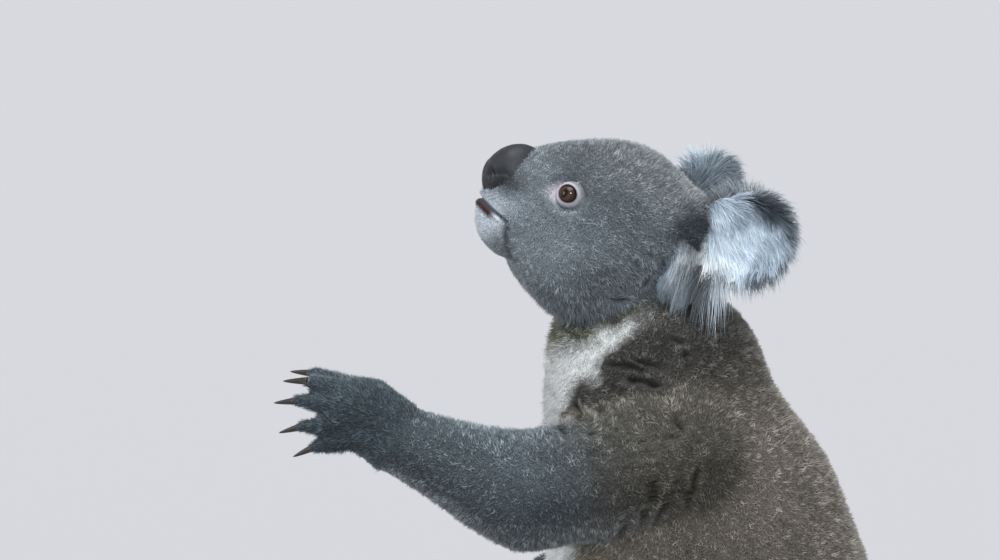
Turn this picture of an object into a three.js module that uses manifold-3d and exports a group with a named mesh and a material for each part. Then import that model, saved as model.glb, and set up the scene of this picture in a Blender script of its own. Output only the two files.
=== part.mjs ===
// A life-size seated koala. It sits upright on its rump with both feet flat in front, the head turned to its
// left and lifted, the left arm reaching forward and the right hand resting on the right knee.
//
// Millimetres. +Z is up, the koala faces -Y and its left side is +X. The floor is z = 0 and the origin is the
// middle of the base of its bounding box. Every solid includes the coat, out to the tips of the hair.
//
// Each region is a smooth field, negative inside: a blend of ellipsoids and tapered limbs. A region is meshed
// by casting rings of rays from a spine to the surface of its field, and the rings at a parting lie in one
// plane, so neighbours meet face to face. What grows out of another piece is cut by that piece, swollen by GAP.

import * as THREE from "three";
import { mergeVertices } from "three/addons/utils/BufferGeometryUtils.js";
import Module from "manifold-3d";

const wasm = await Module();
wasm.setup();

// ---------------------------------------------------------------- driving dimensions

const GAP = 0.4; // clearance between neighbouring pieces

// Trunk, from the sitting flat to the throat.
const TRUNK_PARTS = [
  { at: [0, 62, 86], radii: [104, 106, 95] }, // rump
  { at: [0, 50, 170], radii: [102, 125, 112] }, // belly and loins
  { at: [0, 37, 252], radii: [90, 106, 86] }, // rib cage
  { at: [0, -16, 300], radii: [56, 56, 60] }, // bib
  { at: [0, 16, 342], radii: [66, 76, 68] }, // neck
  { at: [2, -26, 366], radii: [40, 37, 42] }, // throat
];
const TRUNK_BLEND = 36;
const TRUNK_SPINE = [[0, 62, 78], [0, 46, 160], [0, 34, 250], [0, 14, 334]];
const NECK_SPINE = [[0, 6, 366], [2, 2, 384]]; // goes on from the end of the trunk's
const TAIL = { at: [0, 161, 58], radii: [15, 14, 17] };

// Head, in its own axes: x forward to the nose, y to the koala's left, z to the crown.
const HEAD_AT = [6, -14.5, 447];
const HEAD_PITCH = 32; // degrees, nose lifted
const HEAD_ROLL = 9; // left ear lowered
const HEAD_YAW = 16; // nose turned to the koala's left
const HEAD_PARTS = [
  { at: [5, 0, 3], radii: [60, 54, 56] }, // brain case
  { at: [-30, 0, -2], radii: [42, 52, 46] }, // back of the head
  { at: [46, 0, -4], radii: [38, 35, 39] }, // brow and bridge
  { at: [34, 0, -12], radii: [44, 48, 40] }, // face between the eyes
  { at: [67, 0, -22], radii: [34, 30, 37] }, // muzzle
  { at: [71, 0, -43], radii: [22, 22, 20] }, // chin
  { at: [14, 25, -38], radii: [48, 36, 42] }, // left cheek
  { at: [14, -25, -38], radii: [48, 36, 42] }, // right cheek
  { at: [-35, 34, 26], radii: [27, 24, 27] }, // root of the left ear
  { at: [-35, -34, 26], radii: [27, 24, 27] }, // root of the right ear
];
const HEAD_BLEND = 16;
const HEAD_SPINE = [[-34, 0, -2], [10, 0, -6], [66, 0, -20]];
const NOSE = { at: [87, 0, -10], radii: [21, 18, 26], lean: 18 };
const EYE = { at: [53, 35, 1], radius: 9.2 };
const JAW_CUT = { at: [72, 0, -76], size: [72, 140, 70], lean: 6 };

// Ears, in head axes: a dish that faces outwards and forward, with a beard of long hair below.
const EARS = {
  left: { side: 1, at: [-58, 78, 46], facing: [0.65, 0.76, 0] },
  right: { side: -1, at: [-61, -78, 48], facing: [0.4, -0.92, 0] },
};
const EAR = {
  radius: 43,
  beard: 38, // how much further the hair reaches at the beard
  beardAngle: -80, // degrees, where the beard hangs, from straight outwards
  beardSpread: 27,
  dish: 13, // depth of the hollow
  thickness: 15,
  rim: 4,
  sides: 20,
  shares: [0.34, 0.64, 0.87], // of the reach, where each face's rings lie
};

// Digits, fanned about a palm or sole: how far aside, ahead and palmward of its middle each one is rooted, its
// heading in degrees and its length. Aside and heading count from the inner digit towards the outer one.
const HAND = {
  digits: [
    { aside: -17, ahead: 2, palmward: 8, heading: -14, length: 33 },
    { aside: -15, ahead: 3, palmward: -4, heading: -9, length: 36 },
    { aside: -4, ahead: 9, palmward: -6, heading: -4, length: 36 },
    { aside: 8, ahead: 8, palmward: -6, heading: 6, length: 34 },
    { aside: 18, ahead: 3, palmward: -2, heading: 15, length: 31 },
  ],
  digitRadii: [9, 7],
  clawless: [],
};
const FOOT = {
  digits: [
    { aside: -16, ahead: 0, palmward: 5, heading: -42, length: 30 },
    { aside: -10, ahead: 26, palmward: 5, heading: -9, length: 29 },
    { aside: -2, ahead: 28, palmward: 5, heading: -3, length: 31 },
    { aside: 7, ahead: 28, palmward: 5, heading: 3, length: 34 },
    { aside: 15, ahead: 22, palmward: 5, heading: 14, length: 33 },
  ],
  digitRadii: [10.5, 8],
  clawless: [0], // the great toe
};
const KNUCKLE = 0.55; // how far along its length a digit bends

// Limbs, joint by joint, each with the radius of the limb over its coat, then the palm or sole.
const ARM_LEFT = {
  joints: [[54, 26, 286], [84, -84, 264], [76, -172, 301]],
  radii: [56, 40, 27],
  pad: {
    at: [75, -199, 320],
    radii: [20, 31, 28],
    forward: [0, -1, 0.05],
    across: [0.1, 0, -1],
    palm: [-1, 0, 0],
  },
  curl: 14,
  ...HAND,
};
const ARM_RIGHT = {
  joints: [[-54, 26, 282], [-112, 58, 200], [-106, -28, 188]],
  radii: [56, 38, 26],
  pad: {
    at: [-104, -56, 177],
    radii: [27, 28, 17],
    forward: [0, -0.92, -0.39],
    across: [-1, 0, 0],
    palm: [0, 0.39, -0.92],
  },
  curl: 26,
  ...HAND,
};
const LEG_LEFT = {
  joints: [[56, 74, 84], [98, -34, 106], [100, -56, 42]],
  radii: [72, 46, 27],
  pad: {
    at: [102, -84, 15],
    radii: [24, 44, 22],
    forward: [0, -1, 0],
    across: [1, 0, 0],
    palm: [0, 0, -1],
  },
  curl: 5,
  ...FOOT,
};
const LIMB_BLEND = 22;
const PAD_BLEND = 12;
const CLAW = { length: 18, radius: 2.9, hook: 0.24, root: 1 };

const COLOURS = {
  head: "#626364",
  ear: "#8b8d90",
  neck: "#6d6a66",
  trunk: "#5f5850",
  arm: "#596067",
  leg: "#655d55",
  hand: "#3f444a",
  nose: "#2a2c31",
  eye: "#4a2413",
  claw: "#2b2622",
};

// ---------------------------------------------------------------- fields

const vec = (values) => new THREE.Vector3(...values);
const radians = THREE.MathUtils.degToRad;

function ellipsoid({ at, radii }) {
  const centre = vec(at);
  const scale = vec(radii);
  return (p) => {
    const q = p.clone().sub(centre).divide(scale);
    const outward = q.clone().divide(scale).length();
    const reach = q.length();
    return outward < 1e-9 ? -Math.min(...radii) : (reach * (reach - 1)) / outward;
  };
}

function taperedLimb(from, to, startRadius, endRadius) {
  const start = vec(from);
  const axis = vec(to).sub(start);
  return (p) => {
    const offset = p.clone().sub(start);
    const along = THREE.MathUtils.clamp(offset.dot(axis) / axis.lengthSq(), 0, 1);
    const radius = THREE.MathUtils.lerp(startRadius, endRadius, along);
    return offset.addScaledVector(axis, -along).length() - radius;
  };
}

function blended(fields, width) {
  return (p) => fields.map((field) => field(p)).reduce((a, b) => {
    const overlap = Math.max(width - Math.abs(a - b), 0) / width;
    return Math.min(a, b) - (overlap * overlap * width) / 4;
  });
}

const aboveFloor = (field) => (p) => Math.max(field(p), -p.z);
const swollen = (field) => (p) => field(p) - GAP;

// ---------------------------------------------------------------- meshing

const CAST_STEP = 3;

function cast(field, from, direction) {
  let inside = 0;
  let outside = CAST_STEP;
  const at = (distance) => from.clone().addScaledVector(direction, distance);
  while (field(at(outside)) < 0) {
    inside = outside;
    outside += CAST_STEP;
  }
  for (let i = 0; i < 20; i += 1) {
    const middle = (inside + outside) / 2;
    if (field(at(middle)) < 0) inside = middle;
    else outside = middle;
  }
  return at(outside);
}

// Joins rings of points, each turning the same way about the line from the first pole to the last.
function loft(rings, firstPole, lastPole) {
  const sides = rings[0].length;
  const points = [firstPole, ...rings.flat(), lastPole];
  const index = (ring, side) => 1 + ring * sides + (side % sides);
  const faces = [];
  for (let side = 0; side < sides; side += 1) {
    faces.push(0, index(0, side + 1), index(0, side));
    for (let ring = 0; ring + 1 < rings.length; ring += 1) {
      const corners = [[0, 0], [0, 1], [1, 1], [1, 0]].map(([r, s]) => index(ring + r, side + s));
      faces.push(corners[0], corners[1], corners[2], corners[0], corners[2], corners[3]);
    }
    faces.push(points.length - 1, index(rings.length - 1, side), index(rings.length - 1, side + 1));
  }
  const geometry = new THREE.BufferGeometry().setFromPoints(points);
  geometry.setIndex(faces);
  return geometry;
}

// The plane in which each point of a spine is sectioned, tilted half way at a bend.
function sectionNormals(points) {
  const runs = points.slice(1).map((point, i) => point.clone().sub(points[i]).normalize());
  return points.map((_, i) => {
    const before = runs[Math.max(i - 1, 0)];
    const after = runs[Math.min(i, runs.length - 1)];
    return before.clone().add(after).normalize();
  });
}

// Places a number of sections along the spine between two of its points, a hair inside any flat end.
function sections(points, [first, last], count, domes, gap) {
  const normals = sectionNormals(points);
  const runs = [];
  for (let i = first; i < last; i += 1) runs.push(points[i + 1].distanceTo(points[i]));
  const total = runs.reduce((sum, length) => sum + length, 0);
  const start = domes[0] ? 0 : gap / 2;
  const end = domes[1] ? total : total - gap / 2;
  return Array.from({ length: count }, (_, step) => {
    let left = start + ((end - start) * step) / (count - 1);
    let run = 0;
    while (run < runs.length - 1 && left > runs[run]) {
      left -= runs[run];
      run += 1;
    }
    const [from, to] = [points[first + run], points[first + run + 1]];
    const axis = to.clone().sub(from).normalize();
    const tilt = (normal) => normal.clone().divideScalar(normal.dot(axis));
    const normal = tilt(normals[first + run]).lerp(tilt(normals[first + run + 1]), left / runs[run]);
    return { at: from.clone().lerp(to, left / runs[run]), normal: normal.normalize() };
  });
}

// Meshes a field from a spine. Each end is a dome of rays where domes says how many rings, or a flat face.
function wrap(field, spine, options) {
  const { span = [0, spine.length - 1], sides, rings, domes, reference = [1, 0, 0], gap = GAP } = options;
  const cuts = sections(spine.map(vec), span, rings, domes, gap);
  const ring = ({ at, normal }, lift = 0) => {
    const side = vec(reference).cross(normal).normalize();
    const up = normal.clone().cross(side);
    return Array.from({ length: sides }, (_, i) => {
      const turn = (2 * Math.PI * i) / sides;
      const radial = side.clone().multiplyScalar(Math.cos(turn)).addScaledVector(up, Math.sin(turn));
      const ray = radial.multiplyScalar(Math.cos(lift)).addScaledVector(normal, Math.sin(lift));
      return cast(field, at, ray);
    });
  };
  const lifts = (count) => Array.from({ length: count }, (_, i) => ((i + 1) * Math.PI) / (2 * count + 2));
  const pole = ({ at, normal }, domed, way) => {
    return domed ? cast(field, at, normal.clone().multiplyScalar(way)) : at;
  };
  const [start, end] = [cuts[0], cuts[cuts.length - 1]];
  const startDome = lifts(domes[0]).reverse().map((lift) => ring(start, -lift));
  const endDome = lifts(domes[1]).map((lift) => ring(end, lift));
  const body = cuts.map((cut) => ring(cut));
  return loft([...startDome, ...body, ...endDome], pole(start, domes[0], -1), pole(end, domes[1], 1));
}

// ---------------------------------------------------------------- solids

function toSolid(geometry, matrix = new THREE.Matrix4()) {
  const bare = geometry.clone().applyMatrix4(matrix);
  bare.deleteAttribute("normal");
  bare.deleteAttribute("uv");
  const merged = mergeVertices(bare, 1e-4);
  return new wasm.Manifold(new wasm.Mesh({
    numProp: 3,
    vertProperties: new Float32Array(merged.attributes.position.array),
    triVerts: new Uint32Array(merged.index.array),
  }));
}

function toGeometry(solid) {
  const { numProp, vertProperties, triVerts } = solid.getMesh();
  const positions = [];
  for (let i = 0; i < vertProperties.length; i += numProp) positions.push(...vertProperties.slice(i, i + 3));
  const geometry = new THREE.BufferGeometry();
  geometry.setAttribute("position", new THREE.Float32BufferAttribute(positions, 3));
  geometry.setIndex(Array.from(triVerts));
  return geometry;
}

function node(name, geometry, colour, roughness = 0.95) {
  geometry.computeVertexNormals();
  const material = new THREE.MeshStandardMaterial({ color: colour, roughness, metalness: 0 });
  const mesh = new THREE.Mesh(geometry, material);
  mesh.name = name;
  return mesh;
}

// ---------------------------------------------------------------- trunk and tail

const trunkField = aboveFloor(blended(TRUNK_PARTS.map(ellipsoid), TRUNK_BLEND));
const BODY_SPINE = [...TRUNK_SPINE, ...NECK_SPINE];
const PARTING = TRUNK_SPINE.length - 1;
const TRUNK_MESH = { span: [0, PARTING], sides: 26, rings: 12, domes: [4, 0] };
const NECK_MESH = { span: [PARTING, BODY_SPINE.length - 1], sides: 26, rings: 3, domes: [0, 3] };
const cutter = (field, spine, mesh) => toSolid(wrap(swollen(field), spine, { ...mesh, gap: -GAP }));
const bodyCutter = cutter(trunkField, BODY_SPINE, TRUNK_MESH).add(cutter(trunkField, BODY_SPINE, NECK_MESH));

function makeTrunk() {
  return node("trunk", wrap(trunkField, BODY_SPINE, TRUNK_MESH), COLOURS.trunk);
}

function makeTail() {
  const spine = [TAIL.at, [TAIL.at[0], TAIL.at[1] + 2, TAIL.at[2]]];
  const stub = wrap(ellipsoid(TAIL), spine, { sides: 10, rings: 2, domes: [2, 2] });
  return node("tail", toGeometry(toSolid(stub).subtract(bodyCutter)), COLOURS.trunk);
}

// ---------------------------------------------------------------- head

const headPose = new THREE.Matrix4()
  .makeRotationZ(-Math.PI / 2)
  .multiply(new THREE.Matrix4().makeRotationZ(radians(HEAD_YAW)))
  .multiply(new THREE.Matrix4().makeRotationY(-radians(HEAD_PITCH)))
  .multiply(new THREE.Matrix4().makeRotationX(-radians(HEAD_ROLL)))
  .setPosition(...HEAD_AT);

const headField = blended(HEAD_PARTS.map(ellipsoid), HEAD_BLEND);
const HEAD_MESH = { sides: 26, rings: 10, domes: [4, 4], reference: [0, 1, 0] };
const headCutter = toSolid(wrap(swollen(headField), HEAD_SPINE, HEAD_MESH));
const headCutterPosed = headCutter.transform(headPose.elements);

const nosePose = new THREE.Matrix4().makeRotationY(-radians(NOSE.lean)).setPosition(...NOSE.at);

function noseGeometry(extra = 0) {
  const field = ellipsoid({ at: [0, 0, 0], radii: NOSE.radii.map((radius) => radius + extra) });
  return wrap(field, [[-4, 0, 0], [4, 0, 0]], { sides: 12, rings: 2, domes: [3, 3], reference: [0, 1, 0] });
}

const eyeAt = (side) => [EYE.at[0], side * EYE.at[1], EYE.at[2]];
const eyeGeometry = (extra = 0) => new THREE.SphereGeometry(EYE.radius + extra, 10, 8);

function headSolid() {
  const sockets = [-1, 1].map((side) => new THREE.Matrix4().setPosition(...eyeAt(side)));
  const whole = toSolid(wrap(headField, HEAD_SPINE, HEAD_MESH));
  const noseless = whole.subtract(toSolid(noseGeometry(GAP), nosePose));
  return sockets.reduce((solid, socket) => solid.subtract(toSolid(eyeGeometry(GAP), socket)), noseless);
}

function jawBox(extra) {
  const pose = new THREE.Matrix4().makeRotationY(radians(JAW_CUT.lean)).setPosition(...JAW_CUT.at);
  return toSolid(new THREE.BoxGeometry(...JAW_CUT.size.map((size) => size + 2 * extra)), pose);
}

// How far the ear's hair reaches in each direction about its middle, furthest at the beard.
function earReach(turn) {
  const past = turn - radians(EAR.beardAngle);
  const aside = THREE.MathUtils.euclideanModulo(past + Math.PI, 2 * Math.PI) - Math.PI;
  return EAR.radius + EAR.beard * Math.exp(-((aside / radians(EAR.beardSpread)) ** 2));
}

// A dished disc, meshed from the middle of its domed rear out to the rim, and in over its hollow front.
function earGeometry({ side, at, facing }) {
  const front = vec(facing).normalize();
  const up = new THREE.Vector3(0, 0, 1).addScaledVector(front, -front.z).normalize();
  const out = up.clone().cross(front).multiplyScalar(side);
  const dish = (share) => EAR.dish * (share * share - 1);
  const half = (share) => EAR.rim / 2 + (EAR.thickness / 2 - EAR.rim / 2) * (1 - share * share);
  const place = (turn, share, way) => {
    const reach = earReach(turn) * share;
    const point = vec(at).addScaledVector(out, reach * Math.cos(turn));
    point.addScaledVector(up, reach * Math.sin(turn));
    return point.addScaledVector(front, dish(share) + way * half(share));
  };
  const turns = Array.from({ length: EAR.sides }, (_, i) => (side * 2 * Math.PI * i) / EAR.sides);
  const ring = (share, way) => turns.map((turn) => place(turn, share, way));
  const rearRings = EAR.shares.map((share) => ring(share, -1));
  const frontRings = EAR.shares.map((share) => ring(share, 1)).reverse();
  return loft([...rearRings, ring(1, 0), ...frontRings], place(0, 0, -1), place(0, 0, 1));
}

function makeHead() {
  const group = new THREE.Group();
  const solid = headSolid();
  const nose = node("nose", noseGeometry(), COLOURS.nose, 0.45);
  nosePose.decompose(nose.position, nose.quaternion, nose.scale);
  group.add(
    node("head", toGeometry(solid.subtract(jawBox(GAP))), COLOURS.head),
    node("jaw", toGeometry(solid.intersect(jawBox(0))), COLOURS.head),
    nose,
  );
  for (const [name, pose] of Object.entries(EARS)) {
    const eye = node(`eye_${name}`, eyeGeometry(), COLOURS.eye, 0.1);
    eye.position.set(...eyeAt(pose.side));
    const ear = toSolid(earGeometry(pose)).subtract(headCutter);
    group.add(eye, node(`ear_${name}`, toGeometry(ear), COLOURS.ear));
  }
  headPose.decompose(group.position, group.quaternion, group.scale);
  return group;
}

function makeNeck() {
  const whole = toSolid(wrap(trunkField, BODY_SPINE, NECK_MESH));
  return node("neck", toGeometry(whole.subtract(headCutterPosed)), COLOURS.neck);
}

// ---------------------------------------------------------------- limbs

// A limb of the left side turned into one of the right.
function mirrored(limb) {
  const flip = ([x, y, z]) => [-x, y, z];
  const { at, forward, across, palm } = limb.pad;
  const pad = { ...limb.pad, at: flip(at), forward: flip(forward), across: flip(across), palm: flip(palm) };
  return { ...limb, joints: limb.joints.map(flip), pad };
}

// The root, knuckle and tip of each digit of a limb.
function digitPoints({ pad, curl, digits }) {
  const [forward, across, palm] = [pad.forward, pad.across, pad.palm].map((way) => vec(way).normalize());
  const turned = (from, towards, degrees) => from.clone()
    .multiplyScalar(Math.cos(radians(degrees)))
    .addScaledVector(towards, Math.sin(radians(degrees)));
  return digits.map(({ aside, ahead, palmward, heading, length }) => {
    const root = vec(pad.at).addScaledVector(across, aside).addScaledVector(forward, ahead);
    root.addScaledVector(palm, palmward);
    const reach = turned(forward, across, heading);
    const knuckle = root.clone().addScaledVector(reach, KNUCKLE * length);
    const tip = knuckle.clone().addScaledVector(turned(reach, palm, curl), (1 - KNUCKLE) * length);
    return [root, knuckle, tip].map((point) => point.toArray());
  });
}

const jointField = ({ joints, radii }) => blended(
  joints.slice(1).map((joint, i) => taperedLimb(joints[i], joint, radii[i], radii[i + 1])),
  LIMB_BLEND,
);
const limbField = (limb) => aboveFloor(blended([jointField(limb), ellipsoid(limb.pad)], PAD_BLEND));
const limbSpine = (limb) => [...limb.joints, limb.pad.at];
const LIMB_MESHES = [
  { span: [0, 1], sides: 16, rings: 6, domes: [3, 0] },
  { span: [1, 2], sides: 16, rings: 4, domes: [0, 0] },
  { span: [2, 3], sides: 12, rings: 3, domes: [0, 2] },
];

function limbCutter(limb) {
  const lengths = LIMB_MESHES.map((mesh) => cutter(limbField(limb), limbSpine(limb), mesh));
  return lengths.reduce((all, length) => all.add(length));
}

// One digit: a blend of two tapered lengths.
function digitSolid(points, [rootRadius, tipRadius]) {
  const middle = (rootRadius + tipRadius) / 2;
  const lengths = [
    taperedLimb(points[0], points[1], rootRadius, middle),
    taperedLimb(points[1], points[2], middle, tipRadius),
  ];
  const mesh = { sides: 6, rings: 3, domes: [1, 1], reference: [0, 0, 1] };
  return toSolid(wrap(aboveFloor(blended(lengths, 3)), points, mesh));
}

// A claw grows along +X from its root and hooks down.
function clawGeometry(extra = 0) {
  const { length, radius, hook } = CLAW;
  const along = (share) => new THREE.Vector3(length * share, 0, -hook * length * share * share);
  const rings = [0, 0.55].map((share) => Array.from({ length: 5 }, (_, i) => {
    const turn = (2 * Math.PI * i) / 5;
    const size = radius * (1 - share) ** 0.6 + extra;
    return along(share).add(new THREE.Vector3(0, 0.8 * size * Math.cos(turn), size * Math.sin(turn)));
  }));
  return loft(rings, new THREE.Vector3(-extra, 0, 0), along(1).add(new THREE.Vector3(extra, 0, 0)));
}

function clawPose([, knuckle, tip]) {
  const forward = vec(tip).sub(vec(knuckle)).normalize();
  const across = new THREE.Vector3(0, 0, 1).cross(forward).normalize();
  const up = forward.clone().cross(across);
  const root = vec(tip).addScaledVector(forward, -CLAW.root);
  return new THREE.Matrix4().makeBasis(forward, across, up).setPosition(root);
}

function makeClaw(name, points) {
  const claw = node(name, clawGeometry(), COLOURS.claw, 0.4);
  clawPose(points).decompose(claw.position, claw.quaternion, claw.scale);
  return claw;
}

// The limb's three pieces and its claws. Names are those of its upper and lower lengths and of its end.
function makeLimb(side, [upper, lower, end], limb, colours, obstacles) {
  const group = new THREE.Group();
  const pieces = LIMB_MESHES.map((mesh) => toSolid(wrap(limbField(limb), limbSpine(limb), mesh)));
  const digits = digitPoints(limb);
  for (const points of digits) pieces[2] = pieces[2].add(digitSolid(points, limb.digitRadii));
  digits.forEach((points, i) => {
    if (limb.clawless.includes(i)) return;
    pieces[2] = pieces[2].subtract(toSolid(clawGeometry(GAP), clawPose(points)));
    group.add(makeClaw(`claw_${end}_${side}_${i + 1}`, points));
  });
  [upper, lower, end].forEach((name, i) => {
    const solid = obstacles.reduce((rest, obstacle) => rest.subtract(obstacle), pieces[i]);
    group.add(node(`${name}_${side}`, toGeometry(solid), colours[i]));
  });
  return group;
}

// ---------------------------------------------------------------- whole koala

function makeKoala() {
  const body = new THREE.Group();
  const armColours = [COLOURS.arm, COLOURS.arm, COLOURS.hand];
  const legColours = [COLOURS.leg, COLOURS.leg, COLOURS.hand];
  const legRight = mirrored(LEG_LEFT);
  const armNames = ["upper_arm", "forearm", "hand"];
  const legNames = ["thigh", "shank", "foot"];
  body.add(
    makeTrunk(),
    makeTail(),
    makeNeck(),
    makeHead(),
    makeLimb("left", armNames, ARM_LEFT, armColours, [bodyCutter]),
    makeLimb("right", armNames, ARM_RIGHT, armColours, [bodyCutter, limbCutter(legRight)]),
    makeLimb("left", legNames, LEG_LEFT, legColours, [bodyCutter]),
    makeLimb("right", legNames, legRight, legColours, [bodyCutter]),
  );
  const box = new THREE.Box3().setFromObject(body, true);
  const middle = box.getCenter(new THREE.Vector3());
  body.position.set(-middle.x, -middle.y, -box.min.z);
  const koala = new THREE.Group();
  koala.add(body);
  return koala;
}

export default makeKoala();
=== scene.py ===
"""A life-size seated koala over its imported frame: one skin, a coat of tufts, a nose, eyes and claws.

Places are in metres in the frame's axes: +Z up, the koala faces -Y, its left side is +X. The skin is the
flesh of the frame joined into one surface and sunk by the depth of the coat. Each of its points carries the
length, lie and colour of the hair there, and the tufts take theirs from their roots. Places on the head are
in millimetres along its own axes: x forward to the nose, y to the koala's left, z to the crown.
"""

import math
from contextlib import contextmanager
from types import SimpleNamespace

import bmesh
import bpy
import numpy as np
from mathutils import Matrix, Vector
from mathutils.bvhtree import BVHTree
from mathutils.kdtree import KDTree


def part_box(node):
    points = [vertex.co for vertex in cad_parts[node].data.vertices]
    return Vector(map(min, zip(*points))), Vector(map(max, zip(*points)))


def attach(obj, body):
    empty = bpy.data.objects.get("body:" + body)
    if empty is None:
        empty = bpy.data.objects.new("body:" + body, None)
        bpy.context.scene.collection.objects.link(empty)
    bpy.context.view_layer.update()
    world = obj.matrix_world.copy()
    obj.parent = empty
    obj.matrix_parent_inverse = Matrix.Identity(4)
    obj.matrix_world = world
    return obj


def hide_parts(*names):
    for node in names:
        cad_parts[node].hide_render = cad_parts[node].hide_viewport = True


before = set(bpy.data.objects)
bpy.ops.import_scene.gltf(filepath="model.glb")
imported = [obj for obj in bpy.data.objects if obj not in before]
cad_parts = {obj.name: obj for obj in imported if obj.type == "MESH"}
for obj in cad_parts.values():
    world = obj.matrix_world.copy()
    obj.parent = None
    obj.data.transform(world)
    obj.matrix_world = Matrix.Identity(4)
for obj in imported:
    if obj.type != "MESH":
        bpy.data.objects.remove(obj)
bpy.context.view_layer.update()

MM = 0.001
SIDES = {"left": 1, "right": -1}
LIMB_NODES = ("upper_arm", "forearm", "hand", "thigh", "shank", "foot")
FLESH = ["trunk", "tail", "neck", "head", "jaw", "ear_left", "ear_right"]
FLESH += [f"{part}_{side}" for side in SIDES for part in LIMB_NODES]
OWNER = {name: index for index, name in enumerate(FLESH)}
PAWS = [(end, side) for end in ("hand", "foot") for side in SIDES]

# ------------------------------------------------------------------ numbers


def unit(vectors):
    """Vectors, one or many, scaled to length one."""
    return vectors / np.maximum(np.linalg.norm(vectors, axis=-1, keepdims=True), 1e-12)


def norms(vectors):
    """The length of each row."""
    return np.linalg.norm(vectors, axis=-1)


def ramp(low, high, values):
    """0 below low, 1 above high and a smooth step between, or the reverse if low is above high."""
    share = np.clip((values - low) / (high - low), 0, 1)
    return share * share * (3 - 2 * share)


def hump(values, middle, width):
    """1 at the middle, falling away smoothly over the width."""
    return np.exp(-(((values - middle) / width) ** 2))


def mixed(first, second, share):
    """First where share is 0 and second where it is 1, with share given for each row."""
    return first + (np.asarray(second) - first) * np.asarray(share)[:, None]


def layered(colours, layers):
    """Colours with others laid over them in turn, each with its share."""
    for colour, share in layers:
        colours = mixed(colours, colour, share)
    return colours


def linear(*colour):
    """A display colour, 0 to 255 a channel, as scene linear values."""
    share = np.array(colour) / 255
    return np.where(share <= 0.04045, share / 12.92, ((share + 0.055) / 1.055) ** 2.4)


def ripples(points, size, seed, count=14):
    """Smooth noise at points, mostly within -2 to 2, with bumps of about the given size in millimetres."""
    rng = np.random.default_rng(seed)
    waves = rng.normal(size=(count, 3)) * (math.pi / (size * MM) / 1.7)
    phases = rng.uniform(0, 2 * math.pi, count)
    return np.sin(points @ waves.T + phases).sum(1) / math.sqrt(count / 2)


def distance_to_path(points, path):
    """How far each point is from a path of straight lengths."""
    nearest = np.full(len(points), np.inf)
    for start, end in zip(path, path[1:]):
        run = end - start
        along = np.clip((points - start) @ run / max(run @ run, 1e-12), 0, 1)
        nearest = np.minimum(nearest, norms(points - start - along[:, None] * run))
    return nearest


def tree_of(points, indices):
    """A tree that finds the nearest of the points with these indices."""
    tree = KDTree(len(indices))
    for index in indices:
        tree.insert(points[index].tolist(), index)
    tree.balance()
    return tree


# ------------------------------------------------------------------ meshes


def rows(items, field, width, kind=np.float32):
    """A field of all the items of a mesh, as rows of the given width."""
    values = np.empty(len(items) * width, kind)
    items.foreach_get(field, values)
    return values.reshape(-1, width)


def mesh_points(mesh):
    return rows(mesh.vertices, "co", 3).astype(float)


def mesh_normals(mesh):
    return rows(mesh.vertex_normals, "vector", 3).astype(float)


def mesh_edges(mesh):
    return rows(mesh.edges, "vertices", 2, np.int32)


def mesh_triangles(mesh):
    """The corners of the faces of a mesh of triangles."""
    return rows(mesh.loops, "vertex_index", 1, np.int32).reshape(-1, 3)


def move_points(mesh, points):
    mesh.vertices.foreach_set("co", np.asarray(points, np.float32).ravel())
    mesh.update()


def triangle_mesh(name, points, triangles):
    """A smooth-shaded mesh made from arrays."""
    mesh = bpy.data.meshes.new(name)
    mesh.vertices.add(len(points))
    mesh.vertices.foreach_set("co", np.asarray(points, np.float32).ravel())
    mesh.loops.add(triangles.size)
    mesh.loops.foreach_set("vertex_index", np.asarray(triangles, np.int32).ravel())
    mesh.polygons.add(len(triangles))
    mesh.polygons.foreach_set("loop_start", np.arange(0, triangles.size, 3, dtype=np.int32))
    mesh.update(calc_edges=True)
    mesh.shade_smooth()
    return mesh


def tube_faces(sides, rings, start, last, first=None):
    """Triangles that join rings of points, numbered from start, and close them onto the last and first."""
    faces = []
    for corner in range(sides):
        after = (corner + 1) % sides
        base = start
        if first is not None:
            faces.append([first, base + after, base + corner])
        for _ in range(rings - 1):
            faces.append([base + corner, base + after, base + sides + after])
            faces.append([base + corner, base + sides + after, base + sides + corner])
            base += sides
        faces.append([last, base + corner, base + after])
    return np.array(faces)


@contextmanager
def editing(mesh):
    """A mesh opened for bmesh's operators, and written back at the end."""
    shape = bmesh.new()
    shape.from_mesh(mesh)
    shape.verts.ensure_lookup_table()
    yield shape
    shape.to_mesh(mesh)
    shape.free()
    mesh.update()


def add_object(name, mesh):
    obj = bpy.data.objects.new(name, mesh)
    bpy.context.scene.collection.objects.link(obj)
    return obj


def paint(mesh, name, colours):
    """Stores a linear colour, or one level for all three channels, for each point."""
    layer = mesh.attributes.new(name, "FLOAT_COLOR", "POINT")
    rgba = np.ones((len(colours), 4), np.float32)
    rgba[:, :3] = colours
    layer.data.foreach_set("color", rgba.ravel())


def averaged(values, edges, passes, weight=1.0):
    """Values at points, each moved towards the mean of its neighbours, pass after pass."""
    values = np.array(values, float)
    flat = values.reshape(len(values), -1)
    first, second = edges.T
    count = np.maximum(np.bincount(edges.ravel(), minlength=len(flat)), 1)
    weight = np.broadcast_to(weight, len(flat))
    for _ in range(passes):
        for column in range(flat.shape[1]):
            total = np.bincount(first, flat[second, column], len(flat))
            total += np.bincount(second, flat[first, column], len(flat))
            flat[:, column] += weight * (total / count - flat[:, column])
    return flat.reshape(values.shape)


def whole_shell(mesh):
    """Which points are joined, edge by edge, to the highest one."""
    edges = mesh_edges(mesh)
    seen = np.zeros(len(mesh.vertices), bool)
    seen[mesh_points(mesh)[:, 2].argmax()] = True
    grown = True
    while grown:
        reached = edges[seen[edges].any(1)]
        grown = not seen[reached].all()
        seen[reached] = True
    return seen


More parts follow.
